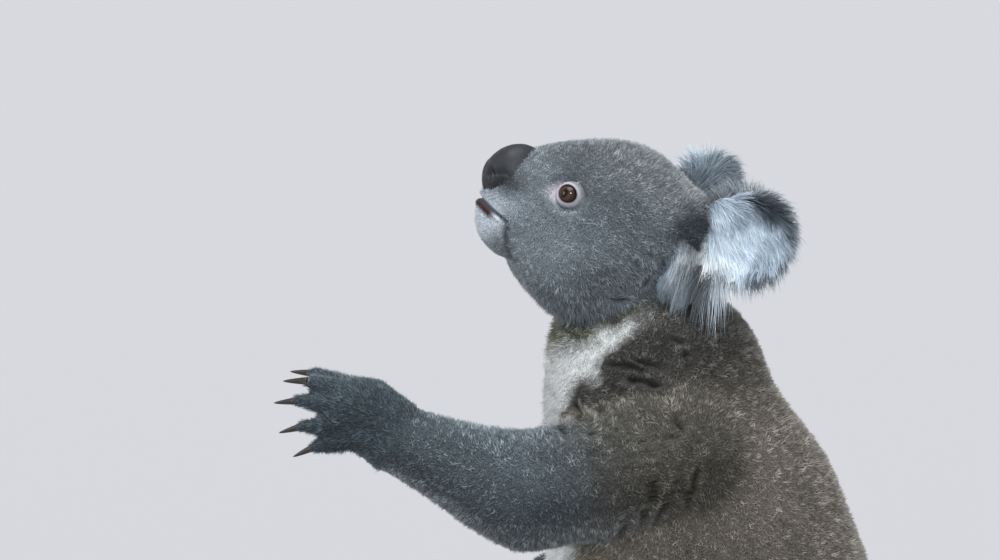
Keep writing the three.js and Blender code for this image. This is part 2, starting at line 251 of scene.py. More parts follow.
def applied(obj):
    """The mesh of an object with its modifiers applied. The object goes."""
    evaluated = obj.evaluated_get(bpy.context.evaluated_depsgraph_get())
    mesh = bpy.data.meshes.new_from_object(evaluated)
    bpy.data.objects.remove(obj)
    return mesh


def voxel_skin(points, triangles, voxel):
    """One closed mesh round everything the given closed shells fill."""
    source = add_object("shells", triangle_mesh("shells", points, triangles))
    modifier = source.modifiers.new("voxels", "REMESH")
    modifier.mode = "VOXEL"
    modifier.voxel_size = voxel
    return applied(source)


def thinned(mesh, share, fine):
    """The mesh with only this share of its triangles, the rest taken from where fine is low."""
    obj = add_object("thick", mesh)
    group = obj.vertex_groups.new(name="coarse")
    for level in range(5):
        chosen = np.nonzero(np.round(fine * 4) == level)[0].tolist()
        group.add(chosen, 1 - level / 4, "REPLACE")
    modifier = obj.modifiers.new("thin", "DECIMATE")
    modifier.ratio = share
    modifier.vertex_group = group.name
    return applied(obj)


# ------------------------------------------------------------------ frame


def node_shell(name, swell=0.0):
    """Points and triangles of a CAD node, moved outwards by swell."""
    shape = bmesh.new()
    shape.from_mesh(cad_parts[name].data)
    bmesh.ops.remove_doubles(shape, verts=shape.verts, dist=1e-6)
    bmesh.ops.triangulate(shape, faces=shape.faces)
    shape.normal_update()
    points = np.array([vertex.co + vertex.normal * swell for vertex in shape.verts])
    triangles = np.array([[vertex.index for vertex in face.verts] for face in shape.faces])
    shape.free()
    return points, triangles


def centre(name):
    low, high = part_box(name)
    return np.array((low + high) / 2)


EYES_MIDDLE = np.array([53, 0, 1])  # in head axes
NOSE_MIDDLE = np.array([87, 0, -10])


def head_frame():
    """The origin and axes of the head, from its eyes and nose."""
    left, right = centre("eye_left"), centre("eye_right")
    side = unit(left - right)
    middle = (left + right) / 2
    ahead = centre("nose") - middle
    ahead = unit(ahead - side * (ahead @ side))
    drop = EYES_MIDDLE - NOSE_MIDDLE
    lean = math.atan2(drop[2], -drop[0])
    forward = ahead * math.cos(lean) + np.cross(ahead, side) * math.sin(lean)
    axes = np.array([forward, side, np.cross(forward, side)])
    return middle - EYES_MIDDLE * MM @ axes, axes


HEAD_ORIGIN, HEAD_AXES = head_frame()


def to_head(points):
    """Points as places on the head, in millimetres."""
    return (points - HEAD_ORIGIN) @ HEAD_AXES.T / MM


def from_head(places):
    return HEAD_ORIGIN + places * MM @ HEAD_AXES


# ------------------------------------------------------------------ face and ear dimensions, in head axes

EYE_RADIUS = norms(node_shell("eye_left")[0] - centre("eye_left")).max()
FACING = np.array([0.64, 0.77, 0.03])  # of the left eye's lids
GAZE = np.array([0.72, 0.69, -0.03])
SLIT = np.array([7.3, 6.4]) * MM  # half the opening of the lids, along and across
LID = 1.0 * MM  # thickness of a lid

RING_TURN = math.radians(-28)  # where the pale skin round the eye reaches furthest, from straight forward

# The line of the lips and the crease behind the chin, each as x and z on either side of the head.
LIPS = np.array([[103, -35.5], [90, -38.4], [80, -39.5]])
CHIN_CREASE = np.array([[80, -39.5], [73, -50], [58, -63]])

EAR_FACING = {"left": (0.65, 0.76, 0.0), "right": (0.4, -0.92, 0.0)}
EAR_REACH = 43 * MM  # from its middle to the tips of the hair
EAR_DISH = 13 * MM
PINNA_REACH = 30 * MM  # from its middle to the rim of the flesh
PINNA_HALF = 3.0 * MM
EAR_ROOT = np.array([-35, 34, 24])  # of the left ear, on the head


def ear_frame(side):
    """The middle of an ear and its outward, upward and facing directions."""
    facing = unit(np.array(EAR_FACING[side])) @ HEAD_AXES
    up = HEAD_AXES[2]
    out = np.cross(up, facing) * SIDES[side]
    points = node_shell(f"ear_{side}")[0]
    middle = out * ((points @ out).max() - EAR_REACH)
    middle = middle + up * ((points @ up).max() - EAR_REACH) + facing * (points @ facing).max()
    return middle, np.array([out, up, facing])


EAR_BASE = np.array([-42, 48, 8])  # of the left ear, where its hair spreads onto the head
EAR_BASE_RADIUS = 28

# Outwards and up from the middle of an ear, in millimetres.
EAR_HOLLOW = np.array([-46, -10])
EAR_SOURCE = np.array([-74, 10])  # where the hair over the face of the ear fans out from
HANGING = np.array([[0.86, 0.5], [0.5, -0.86]])  # across and down a plumb line in the plane of the ear
LOCKS = (-45, -25)  # where the locks below the ear hang, across it


class Ear:
    """Places about an ear, in millimetres from its middle, and turns from straight outwards to the crown."""

    def __init__(self, points, normals, side):
        middle, axes = ear_frame(side)
        self.axes = axes
        self.flat = (points - middle) @ axes[:2].T / MM
        self.reach = norms(self.flat)
        self.turn = np.arctan2(self.flat[:, 1], self.flat[:, 0])
        fan = self.flat - EAR_HOLLOW
        self.front = ramp(-0.15, 0.25, normals @ axes[2])
        self.rim = ramp(20, 29, self.reach) * ramp(3.1, 2.75, np.abs(self.turn))
        self.hollow = ramp(1.3, 0.8, np.hypot(fan[:, 0] / 9, fan[:, 1] / 18))
        across, drop = HANGING @ self.flat.T
        hanging = 0.8 * hump(across, LOCKS[0], 4.5) + hump(across, LOCKS[1], 4.5)
        self.locks = hanging * ramp(12, 19, drop)

    def lengths(self):
        """Hair length: longest in the locks, and short in the hollow and over the upper rim."""
        upper = hump(self.turn, math.radians(85), math.radians(55))
        front = (17 - 4 * upper + 4 * self.rim) * (1 - 0.6 * self.hollow)
        back = 12 + 7 * self.rim
        own = back + (front - back) * self.front
        own = own + (12 - own) * ramp(33, 38, self.reach)
        return (own + 40 * self.locks) * MM

    def lies(self):
        """Hair fans out over the face of the ear, lies outwards over its back and hangs at its foot."""
        fan = unit(unit(self.flat - EAR_SOURCE) + 0.6 * self.rim[:, None] * unit(self.flat)) @ self.axes[:2]
        inner = np.array([16, 10]) * (1 - self.rim)[:, None]
        back = unit(self.flat + inner) @ self.axes[:2]
        lie = mixed(back, fan, self.front)
        weight = 0.12 + 0.5 * ramp(0.1, -0.7, lie[:, 2]) + self.locks
        return unit(lie - weight[:, None] * np.array([0, 0, 1]))

    def colours(self):
        """White with painted shade in the hollow and a dark band inside the rim; grey behind, with a pale
        fringe. The patch below is its own white painted whiter still, as painted light against the ear's
        shadow.
        """
        out, up = self.flat.T
        band = hump(self.turn, math.radians(102), math.radians(62)) * hump(self.reach, 25, 7)
        band = band + 0.5 * hump(self.turn, math.radians(-35), math.radians(30)) * hump(self.reach, 24, 8)
        places = np.column_stack([out, up, np.zeros(len(out))]) * MM
        band = ramp(0.15, 0.75, band + 0.16 * ripples(places, 4, 61))
        # the patch's own white hair, painted whiter than the ear as painted light against the ear's shadow
        patch = hump(np.hypot((out + 20) / 20, (up + 32) / 14), 0, 1)
        below = np.maximum(ramp(-42, -52, up), 0.8 * self.locks.clip(0, 1))
        # painted shade in the ear's hollow
        layers = [(WHITE, 0.7 * patch), (EAR_FRINGE, below), (EAR_BAND, band), (DARK, self.hollow)]
        behind = mixed(EAR_GREY, EAR_FRINGE, self.rim)
        return mixed(behind, layered(EAR_WHITE, layers), self.front)


def with_ears(values, of_ear, points, normals, owners):
    """Values at the points of the skin with the ears' own put in, which a method of Ear gives."""
    for side in SIDES:
        ear = owners == OWNER[f"ear_{side}"]
        values[ear] = of_ear(Ear(points[ear], normals[ear], side))
    return values


def pinna_shell(side, turns=44, rings=12):
    """The flesh of an ear: a cupped leaf with a rolled rim, drawn out on its inner side into the head."""
    middle, axes = ear_frame(side)
    root = (from_head(EAR_ROOT * [1, SIDES[side], 1]) - middle) @ axes.T
    turn = np.arange(turns) * 2 * math.pi / turns
    from_root = np.abs(np.angle(np.exp(1j * (turn - math.atan2(root[1], root[0])))))
    stalk = hump(from_root, 0, 0.8)
    reach = PINNA_REACH + (math.hypot(root[0], root[1]) - PINNA_REACH) * stalk

    def ring(share, way):
        across = reach * share
        ahead = EAR_DISH * ((across / EAR_REACH) ** 2 - 1) + 2.0 * MM * ramp(0.8, 1.0, share)
        ahead = ahead + (root[2] - ahead) * stalk * share**2
        ahead = ahead + way * PINNA_HALF * math.sqrt(max(1 - share**6, 0))
        return np.stack([across * np.cos(turn), across * np.sin(turn), ahead], 1) @ axes + middle

    shares = [(k + 1) / rings for k in range(rings)]
    layers = [ring(share, -1) for share in shares] + [ring(share, 1) for share in reversed(shares[:-1])]
    points = np.vstack([ring(0, -1)[:1], *layers, ring(0, 1)[:1]])
    faces = tube_faces(turns, len(layers), 1, len(points) - 1, first=0)
    return points, faces if side == "left" else faces[:, ::-1]


# ------------------------------------------------------------------ skin

SWELL = 0.6 * MM  # closes the partings between neighbours
VOXEL = 2.2 * MM
THINNED = 0.36  # share of the triangles kept once the form is smooth
DIGIT_DEPTH = 2.3 * MM  # of the coat on the digits, which parts them


def digit_share(points, end, side):
    """0 on the wrist or ankle and 1 on the digits."""
    middle = centre(f"{end}_{side}")
    ahead = middle - centre(f"forearm_{side}") if end == "hand" else np.array([0, -1, 0])
    return ramp(-8 * MM, 8 * MM, (points - middle) @ unit(ahead))


def paw_shell(end, side):
    """A hand or foot, closed against its limb and already sunk to the skin at its digits."""
    points, triangles = node_shell(f"{end}_{side}")
    outward = node_shell(f"{end}_{side}", 1.0)[0] - points
    swell = SWELL - (SWELL + DIGIT_DEPTH) * digit_share(points, end, side)
    return points + outward * swell[:, None], triangles


def stacked(shells):
    """Shells, each of points and triangles, as one."""
    starts = np.cumsum([0] + [len(points) for points, _ in shells])
    triangles = [faces + start for (_, faces), start in zip(shells, starts)]
    return np.vstack([points for points, _ in shells]), np.vstack(triangles)


def joined_shells():
    """Every piece of flesh, with what fills the sockets of the eyes and the seat of the nose."""
    whole = [name for name in FLESH if not name.startswith(("ear", "hand", "foot"))]
    shells = [node_shell(name, SWELL) for name in whole]
    shells += [paw_shell(end, side) for end, side in PAWS]
    shells += [node_shell(f"eye_{side}", SWELL) for side in SIDES]
    shells += [node_shell("nose", -1.5 * MM)]
    shells += [pinna_shell(side) for side in SIDES]
    return stacked(shells)


def owners_of(points):
    """The index in FLESH of the part nearest to each point."""
    shells = [pinna_shell(name[4:]) if name.startswith("ear") else node_shell(name) for name in FLESH]
    owner = np.repeat(np.arange(len(shells)), [len(faces) for _, faces in shells])
    corners, triangles = stacked(shells)
    tree = BVHTree.FromPolygons(corners.tolist(), triangles.tolist())
    return owner[[tree.find_nearest(point)[2] for point in points.tolist()]]


def with_ear_base(points, owners):
    """Owners with the patch of the head below and behind each ear's hollow given to the ear."""
    for side in SIDES:
        places = to_head(points) * [1, SIDES[side], 1]
        near = norms(places - EAR_BASE) < EAR_BASE_RADIUS
        near &= (places[:, 0] < -29) & (places[:, 2] < 16)
        owners[near & is_part(owners, "head")] = OWNER[f"ear_{side}"]
    return owners


def kind(name):
    """A part's name without its side."""
    return name.removesuffix("_left").removesuffix("_right")


def is_part(owners, *parts):
    """Which owners are one of the named parts, on either side."""
    return np.isin(owners, [OWNER[name] for name in FLESH if kind(name) in parts])


def by_part(table, owners):
    """What a table of parts holds for each owner."""
    return np.array([table[kind(name)] for name in FLESH])[owners]


COAT_LENGTH = {
    "trunk": 15, "tail": 12, "neck": 14, "head": 7.5, "jaw": 6, "ear": 16, "upper_arm": 13, "forearm": 11,
    "hand": 6, "thigh": 13, "shank": 10, "foot": 5.5,
}  # mm
# How strongly a part's facets are smoothed away, less where the form is fine.
SOFTNESS = dict.fromkeys(COAT_LENGTH, 0.9) | {"head": 0.4, "jaw": 0.4, "ear": 0.1, "hand": 0.06, "foot": 0.06}
COAT_RISE = 0.3  # depth of the coat as a share of its length
DIGIT_REACH = 26 * MM  # from the middle of a hand or foot to where the digits begin


def ear_shadow(points):
    """1 on the dark, short-haired side of the head in front of each ear."""
    x, y, z = to_head(points).T
    behind = ramp(-8, -28, x + 2.5 * ripples(points, 5, 51))
    return behind * ramp(9, 20, z) * ramp(48, 38, z) * ramp(24, 38, np.abs(y))


def coat_lengths(points, owners, edges):
    """The length of the hair at each point of the skin, before the ears have their own."""
    length = averaged(by_part(COAT_LENGTH, owners) * MM, edges, 12)
    x, _, z = to_head(points).T
    short = ramp(-10, 75, x - 0.25 * np.abs(z + 15))
    cheek = hump(x, 0, 30) * ramp(-10, -50, z)
    on_face = (1 - 0.62 * short) * (1 + 0.35 * cheek) * (1 - 0.45 * ear_shadow(points))
    length = length * np.where(is_part(owners, "head", "jaw"), on_face, 1)
    length = length * (1 + 0.6 * bib_share(points, owners))
    for side in SIDES:
        _, away = about_eye(points, side)
        length = length * (1 - 0.75 * ramp(2.6, 1.2, away))
    for end, side in PAWS:
        paw = owners == OWNER[f"{end}_{side}"]
        away = norms(points[paw] - centre(f"{end}_{side}"))
        length[paw] *= 1 - 0.35 * ramp(0.6 * DIGIT_REACH, 1.4 * DIGIT_REACH, away)
    return length


def coat_depth(points, length, owners):
    """How deep the coat is: less on the sitting flat and soles, none where it is already taken off."""
    depth = length * COAT_RISE * (0.25 + 0.75 * ramp(0, 30 * MM, points[:, 2]))
    for end, side in PAWS:
        paw = owners == OWNER[f"{end}_{side}"]
        depth[paw] *= 1 - digit_share(points[paw], end, side)
    return np.where(is_part(owners, "ear"), 0, depth)


def eye_frame(side, way=FACING):
    """The middle of an eye, and its directions forward along the slit, up across it and outwards."""
    out = unit(way * np.array([1, SIDES[side], 1]))
    along = unit(np.cross(out, [0, 0, 1]) * SIDES[side])
    across = np.cross(out, along) * -SIDES[side]
    return centre(f"eye_{side}"), np.array([along, across, out]) @ HEAD_AXES


def about_eye(points, side):
    """Places along, across and out of an eye, and how far out they lie, 1 being the edge of the lids."""
    middle, axes = eye_frame(side)
    places = (points - middle) @ axes.T
    away = np.hypot(places[:, 0] / SLIT[0], places[:, 1] / SLIT[1])
    return places, np.where(places[:, 2] > -2 * MM, away, 99.0)


def with_lids(points, side):
    """Points drawn over the eye as lids, with a rolled edge, folds beyond it and the slit open between."""
    middle, axes = eye_frame(side)
    places, away = about_eye(points, side)
    along, across, out = places.T
    over = np.sqrt(np.maximum((EYE_RADIUS + LID) ** 2 - along**2 - across**2, 0))
    lid = over + 0.35 * MM * hump(away, 1.07, 0.07)
    free = ramp(1.25, 2.6, away)
    fold = np.where(across > 0, 0.4, 0.25) * MM * np.abs(across) / SLIT[1]
    surface = lid * (1 - free) + out * free - fold * hump(away, 1.52, 0.16)
    surface = surface - 5.5 * MM * ramp(1.0, 0.86, away)
    places[:, 2] = np.where(away < 4, surface, out)
    return middle + places @ axes


def about_mouth(points):
    """How far each point is, seen from the side, from the line of the lips and the crease behind the chin."""
    flat = to_head(points)[:, [0, 2]]
    return distance_to_path(flat, LIPS), distance_to_path(flat, CHIN_CREASE)


def with_mouth(points, normals):
    """Points sunk along the parting of the lips and behind the chin, with the lips raised beside it."""
    x, _, z = to_head(points).T
    lips, crease = about_mouth(points)
    depth = 2.6 * hump(lips, 0, 1.1) - 0.7 * hump(lips, 3.2, 1.6) + 1.3 * hump(crease, 0, 2.8)
    here = (x > 50) & (z < -25)
    return points - normals * np.where(here, depth * MM, 0)[:, None]


# Creases on the left side that the coat breaks along, each as its start, bend and end.
CREASES = np.array([
    [[45, -16, 323], [80, 0, 320], [110, 8, 301]],
    [[44, -18, 310], [75, -15, 310], [106, -10, 305]],
    [[62, 7, 327], [75, 12, 325], [89, 18, 321]],
    [[76, 36, 331], [84, 44, 329], [92, 52, 325]],
    [[101, 51, 318], [107, 62, 309], [110, 70, 299]],
    [[105, 38, 311], [110, 47, 303], [114, 54, 290]],
    [[115, 47, 283], [112, 49, 265], [92, 39, 234]],
    [[112, 70, 293], [111, 65, 273], [94, 48, 234]],
    [[110, 83, 293], [109, 79, 273], [98, 70, 248]],
    [[114, 30, 258], [104, 33, 244], [84, 23, 228]],
    [[64, 29, 359], [68, 45, 354], [68, 72, 349]],
    [[66, 22, 346], [70, 39, 342], [72, 62, 338]],
    [[62, 38, 433], [58, 48, 429], [58, 58, 431]],
    [[54, 52, 417], [52, 48, 408], [49, 42, 399]],
    [[64, 15, 399], [55, 28, 395], [47, 41, 396]],
    [[61, 83, 366], [65, 75, 361], [66, 63, 361]],
    [[64, 8, 353], [68, 30, 352], [69, 50, 346]],
    [[60, 60, 378], [63, 70, 371], [64, 84, 373]],
    [[92, 60, 330], [99, 66, 318], [102, 74, 306]],
    [[84, 18, 335], [91, 24, 329], [97, 30, 319]],
]) * MM
CREASE_DEPTH = 0.28  # as a share of the length of the hair
CREASE_SPAN = 55 * MM  # from the middle of a crease, further than it has any effect
FOLD_RISE = 1.1 * MM


def laid_creases(mesh):
    """The creases laid on a skin: the left side's, and the same arcs a little lower on the right."""
    points = mesh_points(mesh)
    tree = tree_of(points, range(len(points)))
    share = np.linspace(0, 1, 9)[:, None]
    rest = 1 - share
    lines = []
    for start, bend, end in CREASES:
        arc = start * rest * (1 - 2 * share) + 4 * bend * share * rest + end * share * (2 * share - 1)
        for path in (arc, arc * [-1, 1, 1] + np.array([0, 6, -9]) * MM):
            lines.append(points[[tree.find(place)[1] for place in path.tolist()]])
    return lines


# Places on either side about which the loose skin folds, and how far from them.
FOLD_MIDDLES = np.array([[100, 40, 300], [62, 75, 362], [50, 55, 408], [88, -40, 300]]) * MM
FOLD_REACHES = np.array([85, 42, 34, 36]) * MM


def fold_height(points):
    """The lobes and hollows, from 1 to -1, of the loose skin at the shoulder, neck and cheek."""
    places = np.column_stack([np.abs(points[:, 0]), points[:, 1:]])
    away = norms(places[:, None] - FOLD_MIDDLES) / FOLD_REACHES
    return ramp(1.0, 0.4, away.min(1)) * np.tanh(1.2 * ripples(points * [1, 1, 0.5], 8, 6))


def crease_distance(points, creases):
    """How far each point is from a crease, growing at its ends, or 1 where all are out of reach."""
    distance = np.ones(len(points))
    for line in creases:
        near = norms(points - line[4]) < CREASE_SPAN
        if near.any():
            close = points[near]
            wander = 0.6 * MM * np.abs(ripples(close, 12, 5))
            ends = norms(close[:, None] - line[[0, -1]]).min(1)
            away = distance_to_path(close, line) + wander + 3 * MM * ramp(12 * MM, 0, ends)
            distance[near] = np.minimum(distance[near], away)
    return distance


def make_skin_mesh():
    """The bare skin, its owners, its points and normals before folds and creases are cut, and the creases."""
    mesh = voxel_skin(*joined_shells(), VOXEL)
    keep = whole_shell(mesh)
    with editing(mesh) as shape:
        bmesh.ops.delete(shape, geom=[v for v in shape.verts if not keep[v.index]], context="VERTS")
    smoothed_and_sunk(mesh)
    creases = laid_creases(mesh)
    owners = owners_of(mesh_points(mesh))
    fine = is_part(owners, "hand", "foot") + 0.6 * is_part(owners, "head", "jaw", "ear")
    mesh = thinned(mesh, THINNED, averaged(fine, mesh_edges(mesh), 2).clip(0, 1))
    refine_details(mesh, creases)
    points = mesh_points(mesh)
    for side in SIDES:
        points = with_lids(points, side)
    move_points(mesh, points)
    normals = mesh_normals(mesh)
    uncut = with_mouth(points, normals)
    owners = owners_of(uncut)
    away = crease_distance(uncut, creases)
    furrow = hump(away, 0, 2.0 * MM) - 0.2 * hump(away, 6 * MM, 3 * MM)
    depth = CREASE_DEPTH * furrow * coat_lengths(uncut, owners, mesh_edges(mesh))
    rise = FOLD_RISE * fold_height(uncut) - depth
    move_points(mesh, uncut + normals * rise[:, None])
    mesh.shade_smooth()
    return mesh, with_ear_base(uncut, owners), uncut, normals, creases


def smoothed_and_sunk(mesh):
    """Takes the facets from a mesh of the flesh and sinks it by the depth of the coat."""
    edges = mesh_edges(mesh)
    points = mesh_points(mesh)
    owners = owners_of(points)
    points = averaged(points, edges, 30, averaged(by_part(SOFTNESS, owners), edges, 6))
    points[:, 2] = np.maximum(points[:, 2], 0.4 * MM)
    move_points(mesh, points)
    depth = averaged(coat_depth(points, coat_lengths(points, owners, edges), owners), edges, 4)
    points = points - mesh_normals(mesh) * depth[:, None]
    move_points(mesh, averaged(points, edges, 3, 0.3))


# Passes that each halve the mesh: how near an eye, how far forward on the muzzle and how near a crease.
REFINEMENTS = ((26, 55, 6), (17, 74, 3.5), (10.5, math.inf, 0))


def refine_details(mesh, creases):
    """Divides the mesh finer where it has small forms, and leaves it in triangles."""
    for eye_reach, muzzle, crease_reach in REFINEMENTS:
        points = mesh_points(mesh)
        x, _, z = to_head(points).T
        near = (x > muzzle) & (z < -20) & (norms(points - centre("nose")) < 60 * MM)
        near |= crease_distance(points, creases) < crease_reach * MM
        for side in SIDES:
            near |= norms(points - centre(f"eye_{side}")) < eye_reach * MM
        with editing(mesh) as shape:
            edges = [edge for edge in shape.edges if all(near[vertex.index] for vertex in edge.verts)]
            bmesh.ops.subdivide_edges(shape, edges=edges, cuts=1, use_grid_fill=True, smooth=0.0)
    with editing(mesh) as shape:
        bmesh.ops.triangulate(shape, faces=shape.faces)


# ------------------------------------------------------------------ lie of the coat


def part_lies():
    """The way the hair lies on each part, as a direction in space."""
    lies = {"trunk": (0, 0.2, -1), "neck": (0, 0.55, -0.8), "tail": (0, 0.6, -0.8)}
    lies["head"] = -HEAD_AXES[0] - 0.12 * HEAD_AXES[2]
    lies["jaw"] = -HEAD_AXES[0] - 0.3 * HEAD_AXES[2]
    for side in SIDES:
        lies[f"ear_{side}"] = (0, 0, -1)
        for upper, lower, end in (LIMB_NODES[:3], LIMB_NODES[3:]):
            middle = {part: centre(f"{part}_{side}") for part in (upper, lower, end)}
            lies[f"{upper}_{side}"] = unit(middle[lower] - middle[upper]) + np.array([0, 0, -0.25])
            lies[f"{lower}_{side}"] = unit(middle[end] - middle[lower]) + np.array([0, 0, -0.35])
            lies[f"{end}_{side}"] = unit(middle[end] - middle[lower])
        lies[f"foot_{side}"] = np.array([0, -1, -0.2])
    return np.array([unit(np.array(lies[name], float)) for name in FLESH])


def coat_lie(points, normals, owners, edges):
    """The way the hair lies at each point of the skin, along its surface."""
    _, y, z = to_head(points).T
    aside = 0.25 * np.sign(y)[:, None] * HEAD_AXES[1] - 0.7 * ramp(-5, -45, z)[:, None] * HEAD_AXES[2]
    lie = part_lies()[owners] + is_part(owners, "head", "jaw")[:, None] * aside
    lie = averaged(unit(lie), edges, 30)
    lie = averaged(with_ears(lie, Ear.lies, points, normals, owners), edges, 3)
    swirl = ripples(points, 38, 11) * 0.16
    lie = unit(lie - normals * (lie * normals).sum(1)[:, None])
    return unit(lie + np.cross(normals, lie) * swirl[:, None])


# ------------------------------------------------------------------ markings and painted shade

GREY = linear(133, 143, 150)
JAW_GREY = linear(150, 161, 168)
CHIN_WHITE = linear(220, 230, 240)
CROWN_GREY = linear(132, 138, 142)
BROWN_GREY = linear(152, 146, 132)
# the neck's own grey, darkened with painted shade for the shadow of the ears
NECK_GREY_AND_EAR_SHADE = linear(84, 83, 80)
SHOULDER_BROWN = linear(104, 101, 92)
BACK_BROWN = linear(130, 124, 116)
BLUE_GREY = linear(104, 115, 122)
HAND_GREY = linear(76, 88, 96)
PALE = linear(168, 172, 174)
MUZZLE_PALE = linear(200, 212, 222)
# painted shade: the olive-tinted shadow on the throat under the head
THROAT_PAINTED_SHADE = linear(104, 106, 92)
WHITE = linear(250, 255, 255)
CREAM = linear(190, 184, 172)
EAR_WHITE = linear(192, 210, 226)
EAR_BAND = linear(54, 62, 72)
EAR_GREY = linear(112, 124, 133)
EAR_FRINGE = linear(150, 166, 179)
DARK = linear(40, 45, 52)
BLACK = np.zeros(3)
LIP_BROWN = linear(74, 52, 50)
LID_PINK = linear(228, 224, 236)
LID_EDGE = linear(92, 68, 66)
PAD_GREY = linear(66, 58, 58)

PART_COLOURS = {
    "trunk": BROWN_GREY, "tail": BROWN_GREY, "neck": NECK_GREY_AND_EAR_SHADE, "head": GREY, "jaw": JAW_GREY,
    "ear": EAR_GREY, "upper_arm": BLUE_GREY, "forearm": BLUE_GREY, "hand": HAND_GREY, "thigh": BROWN_GREY,
    "shank": BLUE_GREY, "foot": HAND_GREY,
}

THROAT_SIDES = np.array([0, 37, 49, 53, 80]) * MM
THROAT_HEIGHTS = np.array([350, 362, 373, 384, 395]) * MM  # of the upper edge of the white
BIB_HEIGHTS = np.array([60, 130, 220, 300, 321, 343, 363, 375, 410]) * MM
BIB_HALF_TURNS = np.radians([22, 37, 40, 30, 32, 47, 61, 71, 80])  # about the upright through the neck
SHOULDER_HEIGHTS = np.array([235, 304, 325, 345]) * MM
SHOULDER_LINE = np.array([12, 4, -42, -75]) * MM  # y where the brown of the back meets the arm's grey


def bib_share(points, owners):
    """1 on the white of the throat, chest and belly."""
    x, y, z = (points - [*centre("neck")[:2], 0]).T
    edge = np.interp(z, BIB_HEIGHTS, BIB_HALF_TURNS) + 0.07 * ripples(points, 9, 21)
    return ramp(edge + 0.1, edge - 0.1, np.abs(np.arctan2(x, -y))) * is_part(owners, "trunk", "neck")


def painted_throat_shade_share(points, owners):
    """1 on the throat above the white of the chest, where olive-tinted painted shade stands for the shadow
    under the head.
    """
    line = np.interp(np.abs(points[:, 0]), THROAT_SIDES, THROAT_HEIGHTS)
    above = ramp(-4 * MM, 5 * MM, points[:, 2] - line - 3 * MM * ripples(points, 9, 22))
    return above * is_part(owners, "trunk", "neck", "jaw") * ramp(60 * MM, 35 * MM, points[:, 1])


def arm_share(points, owners):
    """0 on the brown of the shoulders and 1 elsewhere."""
    line = np.interp(points[:, 2], SHOULDER_HEIGHTS, SHOULDER_LINE)
    left = ramp(14 * MM, -14 * MM, points[:, 1] - line)
    shoulder = centre("upper_arm_right")
    run = centre("forearm_right") - shoulder
    right = ramp(0.0, 0.5, (points - shoulder) @ run / (run @ run))
    return np.where(is_part(owners, "upper_arm"), np.where(points[:, 0] > 0, left, right), 1.0)


def body_colours(points, normals, owners, edges):
    """The coat's colour on the trunk, neck and limbs, with painted shade on the neck, the throat and the
    undersides of the arms.
    """
    _, y, z = points.T
    upward = normals[:, 2]
    trunk = is_part(owners, "trunk")
    back = trunk * ramp(0, 60 * MM, y)
    colours = mixed(SHOULDER_BROWN, by_part(PART_COLOURS, owners), arm_share(points, owners))
    colours = mixed(colours, BACK_BROWN, back)
    # the neck's grey, painted shade included, laid over the upper back towards the neck
    colours = mixed(colours, NECK_GREY_AND_EAR_SHADE, 0.6 * back * ramp(300 * MM, 370 * MM, z))
    colours = averaged(colours, edges, 8)
    # painted shade: the arms darker where they face down
    below = ramp(0.3, -0.4, upward) * is_part(owners, "upper_arm", "forearm")
    under = ramp(-0.35, -0.85, upward) * is_part(owners, "upper_arm", "forearm", "thigh")
    rump = trunk * ramp(150 * MM, 70 * MM, z) * ramp(60 * MM, 120 * MM, y)
    bib = bib_share(points, owners)
    return layered(colours, [
        (BLACK, 0.25 * below),
        (PALE, 0.35 * under),
        (CREAM, 0.6 * rump * ramp(0.3, 1.4, ripples(points, 9, 31))),
        (WHITE, bib),
        # painted shade on the throat under the head
        (THROAT_PAINTED_SHADE, bib * painted_throat_shade_share(points, owners)),
    ])


def head_colours(points, colours, owners):
    """The face's markings over the coat's colour, with painted shade in the parting of the lips, in the
    crease behind the chin, in front of the ears and under the jaw.
    """
    x, y, z = to_head(points).T
    lips, crease = about_mouth(points)
    muzzle = hump(np.hypot(x - 90, z + 31), 0, 11) * ramp(-40, -36, z)
    below = ramp(-1.0, 1.5, np.interp(x, LIPS[::-1, 0], LIPS[::-1, 1]) - z)
    middle = ramp(22, 8, np.abs(y))
    ahead = x - np.interp(z, CHIN_CREASE[::-1, 1], CHIN_CREASE[::-1, 0])
    ahead = ramp(-1, 2, ahead) * (1 - middle) + ramp(-12, 10, ahead) * middle
    # painted shade under the jaw
    painted_jaw_shade = ramp(-54, -62, z) * ramp(80, 60, x) * ramp(15, 40, x)
    head = is_part(owners, "head", "jaw")
    return layered(colours, [
        (CROWN_GREY, head * ramp(15, 45, z) * ramp(70, 30, x)),
        (JAW_GREY, head * 0.8 * ramp(-10, -40, z) * ramp(0, 35, x)),
        (BLACK, head * 0.4 * hump(x, 62, 24) * ramp(0, 22, z)),
        (MUZZLE_PALE, head * 0.95 * muzzle),
        (DARK, head * 0.75 * hump(np.hypot(x - 92, z + 16), 0, 10)),
        (CHIN_WHITE, head * 0.95 * below * ahead * ramp(-66, -56, z - 8 * (y / 18) ** 2)),
        (LIP_BROWN, head * below * ramp(86, 92, x) * ramp(7.5, 4, lips)),
        # painted shade in the parting of the lips
        (DARK, head * 0.85 * hump(lips, 0, 1.5) * ramp(77, 86, x)),
        # painted shade in the crease behind the chin
        (DARK, head * 0.6 * hump(crease, 0, 2.4) * ramp(-39, -43, z) * (1 - middle)),
        (DARK, head * 0.8 * ear_shadow(points)),
        (DARK, head * 0.3 * painted_jaw_shade),
    ])


def ring_front(places):
    """1 in front of the eye, where the pale skin round it is widest, from places about the eye."""
    return hump(np.arctan2(places[:, 1], places[:, 0]), RING_TURN, math.radians(48))


